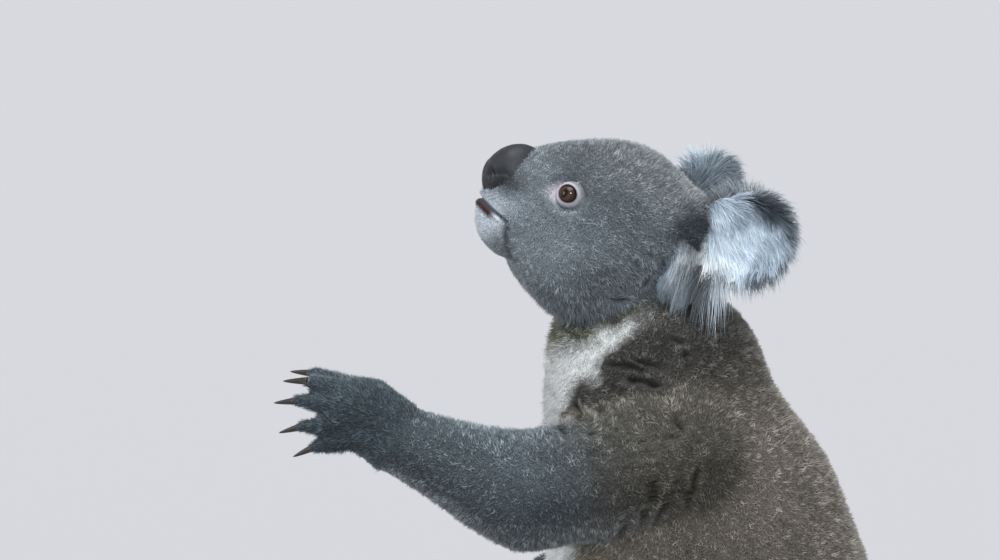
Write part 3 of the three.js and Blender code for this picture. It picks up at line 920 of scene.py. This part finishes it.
def eye_ring_colours(points, colours):
    """Bare pale skin round each eye, widest in front, with a dark edge to the lids."""
    ragged = 0.1 * ripples(points, 1.5, 41)
    for side in SIDES:
        places, away = about_eye(points, side)
        front = ring_front(places)
        share = ramp(1.8 + 0.9 * front + ragged, 1.05 + 0.5 * front, away) * (0.4 + 0.5 * front)
        colours = layered(colours, [(LID_PINK, share), (LID_EDGE, 0.8 * ramp(1.12, 1.03, away))])
    return colours


def pad_share(normals, owners):
    """1 on the bare pads of the palms and soles: the left palm faces inwards and the rest face down."""
    share = ramp(-0.45, -0.75, np.where(owners == OWNER["hand_left"], normals[:, 0], normals[:, 2]))
    return share * is_part(owners, "hand", "foot")


def markings_and_painted_shade(points, normals, owners, edges):
    """The colour of the coat and of the skin below it at each point, painted shade included."""
    colours = body_colours(points, normals, owners, edges)
    colours = head_colours(points, colours, owners)
    colours = averaged(with_ears(colours, Ear.colours, points, normals, owners), edges, 1)
    colours = eye_ring_colours(points, colours)
    colours = mixed(colours, PAD_GREY, pad_share(normals, owners))
    mottle = 1 + 0.07 * ripples(points, 16, 3)
    return colours * np.clip(mottle, 0.75, 1.25)[:, None]


# ------------------------------------------------------------------ tufts

PATCH = 0.003  # of the map that one tuft takes up
TUFT_TIP = 1.25  # brightness of a tuft's tip; the darker roots are partly the hair's own banding and partly painted shade deep in the coat
THICKEST = 20 * MM  # length of hair beyond which tufts grow no further apart


class Coat:
    """The skin, and what it says of the hair at each of its points; uncut points have no folds or creases."""

    def __init__(self, mesh, owners, uncut, normals, creases):
        self.mesh = mesh
        self.owners = owners
        self.uncut = uncut
        self.normals = normals
        self.creases = creases
        self.points = mesh_points(mesh)
        self.triangles = mesh_triangles(mesh)
        about = (self.points, normals, owners)
        edges = mesh_edges(mesh)
        self.length = with_ears(coat_lengths(self.points, owners, edges), Ear.lengths, *about)
        self.colours = markings_and_painted_shade(*about, edges)
        self.lie = coat_lie(*about, edges)
        self.cover = self.make_cover()

    def make_cover(self):
        """1 where hair grows and 0 on lids, lips, nose and pads."""
        cover = 1 - pad_share(self.normals, self.owners)
        for side in SIDES:
            places, away = about_eye(self.points, side)
            cover = cover * ramp(1.08, 1.9 + 0.5 * ring_front(places), away)
        front = (to_head(self.points)[:, 0] > 84) & is_part(self.owners, "head", "jaw")
        lips, _ = about_mouth(self.points)
        return np.where(front, cover * ramp(2.0, 4.5, lips), cover)


def unwrapped(name, points, triangles):
    """The map coordinates of each corner of each triangle, on an unwrap of this piece of skin."""
    used, corners = np.unique(triangles, return_inverse=True)
    mesh = triangle_mesh(name, points[used], corners.reshape(-1, 3))
    obj = add_object(name, mesh)
    unwrap(obj)
    places = rows(mesh.uv_layers["OFBake"].uv, "vector", 2)
    bpy.data.objects.remove(obj)
    bpy.data.meshes.remove(mesh)
    return places.reshape(-1, 3, 2)


def unwrap(obj):
    """Gives an object a map named OFBake."""
    obj.data.uv_layers.new(name="OFBake")
    bpy.context.view_layer.objects.active = obj
    obj.select_set(True)
    bpy.ops.object.mode_set(mode="EDIT")
    bpy.ops.mesh.select_all(action="SELECT")
    bpy.ops.uv.smart_project(angle_limit=math.radians(66), island_margin=0.004)
    bpy.ops.object.mode_set(mode="OBJECT")
    obj.select_set(False)


def sown(coat, faces, count, rng, uvs):
    """Roots spread evenly over faces of the skin, with what the coat says of each and its map place."""
    corners = coat.triangles[faces]
    first, second, third = (coat.points[corners[:, k]] for k in range(3))
    area = norms(np.cross(second - first, third - first)) / 2
    weight = area * coat.cover[corners].mean(1) / np.minimum(coat.length[corners].mean(1), THICKEST)
    edges = np.cumsum(weight) / weight.sum()
    face = np.searchsorted(edges, (np.arange(count) + rng.random(count)) / count).clip(0, len(faces) - 1)
    split = rng.random((count, 2))
    split = np.where(split.sum(1, keepdims=True) > 1, 1 - split, split)
    shares = np.column_stack([1 - split.sum(1), split])

    def at_roots(values):
        return np.einsum("nc...,nc->n...", values, shares)

    fields = ("points", "normals", "lie", "colours", "length", "uncut")
    roots = SimpleNamespace(**{name: at_roots(getattr(coat, name)[corners[face]]) for name in fields})
    roots.normals = unit(roots.normals)
    roots.lie = unit(roots.lie)
    roots.places = at_roots(uvs[face])
    return roots


def gathered(roots, tips, every, pull, limit):
    """Tips drawn towards the tip of the nearest leading tuft, so that the coat parts into locks."""
    tree = tree_of(roots, range(0, len(roots), every))
    leader = np.array([tree.find(root)[1] for root in roots.tolist()])
    shift = (tips[leader] - tips) * pull[:, None]
    return tips + shift * np.minimum(limit / np.maximum(norms(shift), 1e-9), 1)[:, None]


def tuft_shape(spine, side, width, flat):
    """Points, outward directions and triangles of tufts: closed three-sided spikes along their spines."""
    count, steps = spine.shape[0], spine.shape[1] - 1
    rings, radials = [], []
    for step in range(steps):
        along = unit(spine[:, step + 1] - spine[:, max(step - 1, 0)])
        across = unit(np.cross(along, side))
        third = np.cross(along, across)
        size = width * (1 - step / steps) ** 0.7 * (0.75 if step == 0 and steps > 1 else 1) / 2
        for corner in range(3):
            turn = 2 * math.pi * corner / 3 + math.pi / 2
            radial = across * math.cos(turn) + third * math.sin(turn) * flat
            rings.append(spine[:, step] + radial * size[:, None])
            radials.append(radial)
    points = np.stack([*rings, spine[:, -1]], 1)
    faces = np.vstack([[0, 2, 1], tube_faces(3, steps, 0, 3 * steps)])
    triangles = (np.arange(count) * (3 * steps + 1))[:, None, None] + faces
    return points, np.stack([*radials, along], 1), triangles.reshape(-1, 3)


def fleece(points):
    """Small woolly clumps in the coat, as smooth noise."""
    return ripples(points, 3.2, 91, 24)


def parted(roots, creases):
    """How far each root is from a crease, and a push along the skin away from it that fades with distance."""
    distance = crease_distance(roots.uncut, creases)
    push = np.zeros(roots.uncut.shape)
    for along in (roots.lie, np.cross(roots.normals, roots.lie)):
        further = crease_distance(roots.uncut + along * MM, creases)
        push += along * ((further - distance) / MM)[:, None]
    return distance, 1.2 * push * hump(distance, 3 * MM, 4 * MM)[:, None]


def tuft_spines(roots, style, rng, seed):
    """The line of each tuft from its root to its tip."""
    count = len(roots.points)
    length = roots.length * style["length"] * rng.uniform(0.7, 1.2, count)
    length = length * (1 - 0.6 * ramp(2.6 * MM, 0.8 * MM, roots.crease))
    length = length * (1 + style["fleece"] * np.tanh(fleece(roots.points)))
    sway = rng.normal(0, style["sway"], count) + 0.22 * ripples(roots.points, 11, seed + 1)
    lie = unit(roots.lie + np.cross(roots.normals, roots.lie) * sway[:, None])
    white = ramp(0.4, 0.7, roots.colours.mean(1))
    rise = np.radians(style["rise"]) * rng.uniform(0.75, 1.25, count) * (1 - 0.5 * white)
    stray = rng.normal(0, style["stray"], (count, 3)) + roots.push

    def risen(turn):
        return unit(lie * np.cos(turn)[:, None] + roots.normals * np.sin(turn)[:, None] + stray)

    fall = style["droop"] * (length / (16 * MM)) ** 2
    start = risen(rise)
    end = unit(risen(rise * style["settle"]) - fall[:, None] * np.array([0, 0, 1]))
    steps = style["steps"]
    spine = [roots.points - roots.normals * 0.4 * MM]
    for share in np.linspace(0, 1, steps) if steps > 1 else [0.4]:
        spine.append(spine[-1] + (start * (1 - share) + end * share) * (length / steps)[:, None])
    spine = np.stack(spine, 1)
    pull = rng.uniform(0.2, 1, count) * style["pull"]
    tips = gathered(roots.points, spine[:, -1], style["lock"], pull, 0.5 * length)
    bend = (np.arange(steps + 1) / steps)[None, :, None] ** 1.6
    spine = spine + (tips - spine[:, -1])[:, None] * bend
    spine[:, :, 2] = np.maximum(spine[:, :, 2], 0.5 * MM)
    return spine


def tuft_colours(roots, steps, style, rng):
    """Tufts darken towards their roots, partly their own banding and partly painted shade, with painted shade
    in creases and fold hollows and painted light on fold lobes; pale ones least, and some are lighter than
    others.
    """
    light = roots.colours.mean(1)
    streak = style["streak"] * np.tanh(ripples(roots.points, 1.5, 77))
    # painted shade in the gaps between woolly clumps, painted light on the clumps
    streak = streak + style["fleece"] * fleece(roots.points)
    shade = np.exp(style["grizzle"] * (0.45 - 1.5 * rng.random(len(light)) ** 2) + streak)
    # painted shade in creases and fold hollows, painted light on fold lobes
    painted_fold_shade = (1 - 0.65 * ramp(2.8 * MM, 0.5 * MM, roots.crease)) * (1 + 0.3 * fold_height(roots.uncut))
    shade = (1 + (shade - 1) * (1 - 0.6 * light)) * painted_fold_shade
    # partly the hair's own darker base, partly painted shade deep in the coat; pale hair darkens least
    root = style["root"] + 0.34 * light
    share = np.append(np.arange(3 * steps) // 3, steps) / steps
    bright = root[:, None] + (TUFT_TIP - root)[:, None] * share
    return np.clip(roots.colours[:, None] * (bright * shade[:, None])[:, :, None], 0, 1)


def tuft_map(mesh, places, steps, triangles):
    """Lays each tuft on the map as a small patch at its root's place."""
    patch = [[index % 3 / 2, index // 3 / steps] for index in range(3 * steps)] + [[0.5, 1.0]]
    corners = places[:, None] + (np.array(patch) - 0.5) * PATCH
    layer = mesh.uv_layers.new(name="OFBake")
    layer.uv.foreach_set("vector", corners.reshape(-1, 2)[triangles.ravel()].astype(np.float32).ravel())


def coat_piece(name, coat, faces, count, style, seed):
    """One piece of the coat: tufts rooted on the given faces of the skin."""
    rng = np.random.default_rng(seed)
    uvs = unwrapped(name, coat.points, coat.triangles[faces])
    roots = sown(coat, faces, count, rng, uvs)
    roots.crease, roots.push = parted(roots, coat.creases)
    spine = tuft_spines(roots, style, rng, seed)
    width = style["width"] * MM * rng.uniform(0.7, 1.3, count)
    side = unit(roots.normals + rng.normal(0, 0.5, (count, 3)))
    points, outward, triangles = tuft_shape(spine, side, width, style["flat"])
    mesh = triangle_mesh(name, points.reshape(-1, 3), triangles)
    paint(mesh, "coat", tuft_colours(roots, style["steps"], style, rng).reshape(-1, 3))
    tuft_map(mesh, roots.places, style["steps"], triangles)
    soft = unit(outward * (1 - style["soft"]) + roots.normals[:, None] * style["soft"])
    mesh.normals_split_custom_set_from_vertices(soft.reshape(-1, 3).tolist())
    placed(name, mesh, "coat", style["slot"])


# root: brightness at a tuft's root, partly the hair's own darker base and partly painted shade deep in the
# coat
SHORT = {"steps": 1, "length": 0.56, "width": 0.8, "flat": 0.8, "rise": 70, "settle": 1.0, "droop": 0.0,
         "sway": 0.6, "stray": 0.18, "fleece": 0.2, "lock": 5, "pull": 0.4, "grizzle": 0.6, "streak": 0.42,
         "root": 0.46, "soft": 0.4}
LOOSE = SHORT | {"stray": 0.25, "fleece": 0.28, "grizzle": 0.7}
STYLES = {
    "head": SHORT | {"slot": "coat_head"},
    "body": LOOSE | {"slot": "coat_body", "width": 0.85, "rise": 78, "length": 0.25},
    "limb": LOOSE | {"slot": "coat_limbs", "rise": 76, "length": 0.29},
    "paw": SHORT | {"slot": "coat_feet", "width": 0.65, "rise": 48, "length": 0.75, "grizzle": 0.55},
    "ear": SHORT | {"slot": "coat_ear", "steps": 3, "length": 1.0, "width": 0.6, "rise": 24, "settle": 0.6,
                    "droop": 0.25, "sway": 0.2, "stray": 0.0, "fleece": 0.0, "lock": 14, "pull": 0.6,
                    "streak": 0.5, "root": 0.34, "soft": 0.5},
}


def coat_regions(coat):
    """Name, faces, number of tufts and style of each piece of the coat."""
    owners = coat.owners[coat.triangles[:, 0]]
    middle = coat.points[coat.triangles].mean(1)
    face_left = to_head(middle)[:, 1] > 0
    left = middle[:, 0] > 0
    back = middle[:, 1] > centre("trunk")[1]
    head = is_part(owners, "head", "jaw")
    body = is_part(owners, "trunk", "tail")
    arm = is_part(owners, "upper_arm", "forearm")
    leg = is_part(owners, "thigh", "shank")
    return [
        ("coat_head_left", head & face_left, 28000, "head"),
        ("coat_head_right", head & ~face_left, 28000, "head"),
        ("coat_ear_left", owners == OWNER["ear_left"], 11500, "ear"),
        ("coat_ear_right", owners == OWNER["ear_right"], 10000, "ear"),
        ("coat_neck", is_part(owners, "neck"), 26000, "body"),
        ("coat_back_left", body & back & left, 32000, "body"),
        ("coat_back_right", body & back & ~left, 26000, "body"),
        ("coat_front_left", body & ~back & left, 20000, "body"),
        ("coat_front_right", body & ~back & ~left, 18000, "body"),
        ("coat_arm_left", arm & left, 30000, "limb"),
        ("coat_arm_right", arm & ~left, 20000, "limb"),
        ("coat_leg_left", leg & left, 19000, "limb"),
        ("coat_leg_right", leg & ~left, 19000, "limb"),
        ("coat_hands", is_part(owners, "hand"), 13000, "paw"),
        ("coat_feet", is_part(owners, "foot"), 9000, "paw"),
    ]


def make_coat(coat):
    for seed, (name, mask, count, style) in enumerate(coat_regions(coat), 100):
        faces = np.nonzero(mask & (coat.cover[coat.triangles].max(1) > 0.02))[0]
        coat_piece(name, coat, faces, count, STYLES[style], seed)


# ------------------------------------------------------------------ materials


class Nodes:
    """A material's nodes, added and joined in short calls."""

    def __init__(self, name):
        self.material = bpy.data.materials.new(name)
        self.material.use_nodes = True
        self.tree = self.material.node_tree
        self.shader = self.tree.nodes["Principled BSDF"]

    def add(self, kind, inputs, output=0, **settings):
        """A new node's output, with its inputs and settings given."""
        node = self.tree.nodes.new(kind)
        for key, value in settings.items():
            setattr(node, key, value)
        for key, value in inputs.items():
            self.feed(node.inputs[key], value)
        return node.outputs[output]

    def feed(self, socket, value):
        if isinstance(value, bpy.types.NodeSocket):
            self.tree.links.new(value, socket)
        else:
            socket.default_value = value

    def place(self):
        return self.add("ShaderNodeTexCoord", {}, "Object")

    def attribute(self, name):
        return self.add("ShaderNodeAttribute", {}, "Color", attribute_name=name)

    def ramp(self, value, *stops):
        """The colour, or level of grey, between two or more stops."""
        result = self.add("ShaderNodeValToRGB", {"Fac": value})
        points = result.node.color_ramp.elements
        while len(points) < len(stops):
            points.new(0.5)
        for point, (place, colour) in zip(points, stops):
            point.position = place
            point.color = (*np.ones(3) * colour, 1)
        return result

    def noise(self, where, scale, detail):
        return self.add("ShaderNodeTexNoise", {"Vector": where, "Scale": scale, "Detail": detail}, "Fac")

    def multiplied(self, colour, other):
        inputs = {"Factor": 1.0, "A": colour, "B": other}
        return self.add("ShaderNodeMix", inputs, "Result", data_type="RGBA", blend_type="MULTIPLY")

    def vector(self, operation, output, *values):
        return self.add("ShaderNodeVectorMath", dict(enumerate(values)), output, operation=operation)

    def bump(self, height, strength, distance):
        inputs = {"Height": height, "Strength": strength, "Distance": distance}
        self.feed(self.shader.inputs["Normal"], self.add("ShaderNodeBump", inputs))

    def surface(self, **values):
        for key, value in values.items():
            self.feed(self.shader.inputs[key.replace("_", " ")], value)
        return self.material


def coat_material():
    nodes = Nodes("coat")
    return nodes.surface(Base_Color=nodes.attribute("coat"), Roughness=0.85, Specular_IOR_Level=0.2,
                         Sheen_Weight=0.25, Sheen_Roughness=0.5)


def skin_material():
    """The coat's colour, grizzled as the hair is, but plain where the skin is bare."""
    nodes = Nodes("skin")
    grizzle = nodes.ramp(nodes.noise(nodes.place(), 900, 2), (0.32, 0.35), (0.68, 1.0))
    shade = nodes.vector("MAXIMUM", "Vector", grizzle, nodes.attribute("bare"))
    nodes.bump(nodes.noise(nodes.place(), 700, 2), 0.5, 0.8 * MM)
    colour = nodes.multiplied(nodes.attribute("coat"), shade)
    return nodes.surface(Base_Color=colour, Roughness=0.9, Specular_IOR_Level=0.15)


def leather_material():
    nodes = Nodes("nose_leather")
    where = nodes.place()
    colour = nodes.ramp(nodes.noise(where, 60, 3), (0.3, linear(17, 18, 21)), (0.7, linear(38, 42, 49)))
    pebbles = nodes.add("ShaderNodeTexVoronoi", {"Vector": where, "Scale": 1100}, feature="DISTANCE_TO_EDGE")
    nodes.bump(pebbles, 0.35, 0.4 * MM)
    roughness = nodes.ramp(nodes.noise(where, 200, 2), (0.3, 0.38), (0.7, 0.55))
    return nodes.surface(Base_Color=colour, Roughness=roughness, Specular_IOR_Level=0.35)


def claw_material():
    nodes = Nodes("claw_horn")
    streaks = nodes.noise(nodes.place(), 260, 4)
    nodes.bump(streaks, 0.2, 0.3 * MM)
    colour = nodes.ramp(streaks, (0.3, linear(24, 22, 21)), (0.75, linear(54, 48, 44)))
    return nodes.surface(Base_Color=colour, Roughness=0.32)


IRIS = 6.9 * MM
PUPIL = np.array([2.5, 4.3]) * MM  # half its width and height
CORNEA = 0.9 * MM  # how far it bulges


def eye_material():
    """Brown iris with a tall pupil and a dark edge, under a wet cornea. The eye's own Z looks outwards."""
    nodes = Nodes("eye")
    flat = nodes.vector("MULTIPLY", "Vector", nodes.place(), (1 / IRIS, 1 / IRIS, 0.0))
    share = nodes.vector("LENGTH", "Value", flat)
    iris = nodes.ramp(
        share, (0.25, linear(66, 43, 27)), (0.6, linear(82, 56, 35)), (0.84, linear(44, 30, 22)),
        (0.96, linear(16, 11, 10)), (1.0, linear(22, 16, 15)),
    )
    across = nodes.add("ShaderNodeSeparateXYZ", {"Vector": flat}, "X")
    up = across.node.outputs["Y"]
    turn = nodes.add("ShaderNodeMath", {0: up, 1: across}, operation="ARCTAN2")
    spokes = nodes.add("ShaderNodeCombineXYZ", {"X": turn, "Y": share})
    spokes = nodes.vector("MULTIPLY", "Vector", spokes, (9.0, 1.5, 1.0))
    fibres = nodes.ramp(nodes.noise(spokes, 2.0, 3), (0.3, 0.55), (0.7, 1.0))
    inside = nodes.vector("MULTIPLY", "Vector", flat, (IRIS / PUPIL[0], IRIS / PUPIL[1], 0.0))
    pupil = nodes.ramp(nodes.vector("LENGTH", "Value", inside), (0.8, 0.01), (1.0, 1.0))
    colour = nodes.multiplied(nodes.multiplied(iris, fibres), pupil)
    return nodes.surface(Base_Color=colour, Roughness=0.12, Coat_Weight=1.0, Coat_Roughness=0.02,
                         Coat_IOR=1.38, Specular_IOR_Level=0.0)


def floor_material():
    return Nodes("floor").surface(Base_Color=FLOOR, Roughness=0.9)


# ------------------------------------------------------------------ pieces besides the coat


def placed(name, mesh, material, slot, *nodes, where=Matrix.Identity(4)):
    """A piece with its material, which stands for the given CAD nodes, if any; the slot is not used."""
    obj = add_object(name, mesh)
    obj.matrix_world = where
    mesh.materials.clear()
    mesh.materials.append(MATERIALS[material])
    if nodes:
        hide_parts(*nodes)
    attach(obj, "root")
    return obj


def make_eye(side):
    """A smooth eye with a bulging cornea, looking along its own Z."""
    middle, axes = eye_frame(side, GAZE)
    axes[0] *= SIDES[side]
    mesh = bpy.data.meshes.new(f"eye_{side}")
    with editing(mesh) as shape:
        bmesh.ops.create_uvsphere(shape, u_segments=48, v_segments=32, radius=EYE_RADIUS)
        for vertex in shape.verts:
            away = math.hypot(vertex.co.x, vertex.co.y) / IRIS
            if vertex.co.z > 0:
                vertex.co.z += CORNEA * max(1 - away * away, 0)
    mesh.shade_smooth()
    where = Matrix.Translation(Vector(middle)) @ Matrix(axes.T.tolist()).to_4x4()
    placed(f"globe_{side}", mesh, "eye", "eye", f"eye_{side}", where=where)


NOSE_VOXEL = 0.7 * MM
NOSE_LEAN = math.radians(18)
NOSTRIL_SLIT = np.array([[9, -12], [13, -9], [15.5, -4]])  # aside and up from the middle of the nose


def nose_axes():
    """The nose's directions: forward, to the left and up its length."""
    forward = HEAD_AXES[0] * math.cos(NOSE_LEAN) + HEAD_AXES[2] * math.sin(NOSE_LEAN)
    return np.array([forward, HEAD_AXES[1], np.cross(forward, HEAD_AXES[1])])


def make_nose():
    """The bare nose: broad at the foot, with a nostril and slit on each side and a shallow groove between."""
    mesh = voxel_skin(*node_shell("nose"), NOSE_VOXEL)
    points = averaged(mesh_points(mesh), mesh_edges(mesh), 40, 0.8)
    middle, axes = centre("nose"), nose_axes()
    x, y, z = axes @ (points - middle).T / MM
    y = y * (1 + 0.08 * ramp(4, -14, z) - 0.16 * ramp(0, 22, z))
    front = ramp(2, 8, x)
    aside = np.abs(y)
    nostril = hump(np.hypot(aside - 8.0, (z + 12.5) / 1.25), 0, 2.7)
    slit = distance_to_path(np.stack([aside, z], 1), NOSTRIL_SLIT)
    depth = 5.0 * nostril * front + 1.8 * hump(slit, 0, 1.3) * ramp(0, 3, x)
    depth = depth + 0.7 * hump(y, 0, 1.2) * ramp(-6, -14, z) * front
    depth = depth - 0.8 * hump(np.hypot(aside - 8, z + 12.5), 5, 1.8) * front
    move_points(mesh, np.stack([x - depth, y, z], 1) * MM @ axes + middle)
    mesh.shade_smooth()
    placed("nose_leather", mesh, "leather", "nose", "nose")


def claw_line(name, base):
    """The root, bend and tip of a CAD claw that grows away from base."""
    points = node_shell(name)[0]
    tip = points[norms(points - base).argmax()]
    depth = (points - tip) @ unit(tip - base)
    root = points[depth < depth.min() + 2.5 * MM].mean(0)
    bend = points[(depth > 0.35 * depth.min()) & (depth < -1 * MM)]
    return root, bend.mean(0) if len(bend) else (root + tip) / 2, tip


def make_claw(name, base, sides=14, rings=12, radius=2.9 * MM):
    """A smooth hooked claw, narrower than it is deep."""
    root, bend, tip = claw_line(name, base)
    control = 2 * bend - (root + tip) / 2
    share = np.linspace(0, 1, rings)[:, None]
    line = root * (1 - share) ** 2 + 2 * control * share * (1 - share) + tip * share**2
    along = unit(np.gradient(line, axis=0))
    across = unit(np.cross(along, [0, 0, 1]))
    over = np.cross(across, along)
    turn = (np.arange(sides) * 2 * math.pi / sides)[:, None]
    circle = across[:, None] * 0.72 * np.cos(turn) + over[:, None] * np.sin(turn)
    points = line[:, None] + circle * (radius * (1 - share) ** 0.6)[:, :, None]
    points = np.vstack([points[:-1].reshape(-1, 3), root, tip])
    faces = tube_faces(sides, rings - 1, 0, len(points) - 1, first=len(points) - 2)
    placed(f"horn_{name}", triangle_mesh(name, points, faces), "claw", "claw", name)


def make_claws():
    for name in sorted(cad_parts):
        if name.startswith("claw_"):
            _, end, side, _ = name.split("_")
            make_claw(name, centre(f"{end}_{side}"))


def make_skin():
    """The skin as a piece, and what it says of the coat."""
    coat = Coat(*make_skin_mesh())
    furrow = hump(crease_distance(coat.uncut, coat.creases), 0, 1.8 * MM)
    # painted shade: the skin darker under the hair, most under dark hair, and darker in the creases
    shade = 1 - 0.4 * coat.cover * (1 - coat.colours.mean(1)) - 0.4 * furrow
    paint(coat.mesh, "coat", np.clip(coat.colours * shade[:, None], 0, 1))
    paint(coat.mesh, "bare", 1 - coat.cover[:, None])
    unwrap(placed("skin", coat.mesh, "skin", "coat_body", *FLESH))
    return coat


# ------------------------------------------------------------------ stage

AIM = np.array([3, -58, 407]) * MM
CAMERA_DISTANCE = 3.0
CAMERA_RISE = math.radians(5)
CAMERA_LENS = 150
LIGHTS = {  # where each shines from, how broad it is in degrees, and its strength
    "top": ((0.5, 0.1, 2.1), 45, 2.0),
    "front": ((2.2, 0.6, 1.1), 10, 1.1),
    "side": ((0.8, -2.2, 0.8), 35, 1.0),
}
STUDIO = (0.86, 0.88, 0.92, 1)  # the light that comes from all round
STUDIO_STRENGTH = 0.76
FLOOR = (0.43, 0.435, 0.45, 1)  # as bright, once lit, as the studio behind it
FLOOR_REACH = 40


def aimed(name, data, source):
    """A camera or light that looks from the direction of source towards the origin."""
    obj = bpy.data.objects.new(name, data)
    obj.rotation_mode = "QUATERNION"
    obj.rotation_quaternion = (-source).to_track_quat("-Z", "Y")
    bpy.context.scene.collection.objects.link(obj)
    return obj


def make_camera():
    data = bpy.data.cameras.new("camera")
    data.lens = CAMERA_LENS
    data.sensor_width = 36
    back = Vector((math.cos(CAMERA_RISE), 0, math.sin(CAMERA_RISE)))
    camera = aimed("camera", data, back)
    camera.location = Vector(AIM) + back * CAMERA_DISTANCE
    bpy.context.scene.camera = camera


def make_light(name, source, softness_turn, strength):
    """A broad distant light."""
    data = bpy.data.lights.new(name, "SUN")
    data.angle = math.radians(softness_turn)
    data.energy = strength
    aimed(name, data, Vector(source))


def make_stage():
    mesh = bpy.data.meshes.new("floor")
    with editing(mesh) as shape:
        bmesh.ops.create_circle(shape, cap_ends=True, segments=64, radius=FLOOR_REACH)
    mesh.materials.append(MATERIALS["floor"])
    add_object("floor", mesh)
    world = bpy.data.worlds.new("studio")
    bpy.context.scene.world = world
    world.use_nodes = True
    backdrop = world.node_tree.nodes["Background"]
    backdrop.inputs["Color"].default_value = STUDIO
    backdrop.inputs["Strength"].default_value = STUDIO_STRENGTH
    for name, facts in LIGHTS.items():
        make_light(name, *facts)
    bpy.context.scene.view_settings.view_transform = "Standard"


MATERIALS = {
    "coat": coat_material(),
    "skin": skin_material(),
    "leather": leather_material(),
    "eye": eye_material(),
    "claw": claw_material(),
    "floor": floor_material(),
}

make_camera()
make_stage()
make_coat(make_skin())
for eye_side in SIDES:
    make_eye(eye_side)
make_nose()
make_claws()
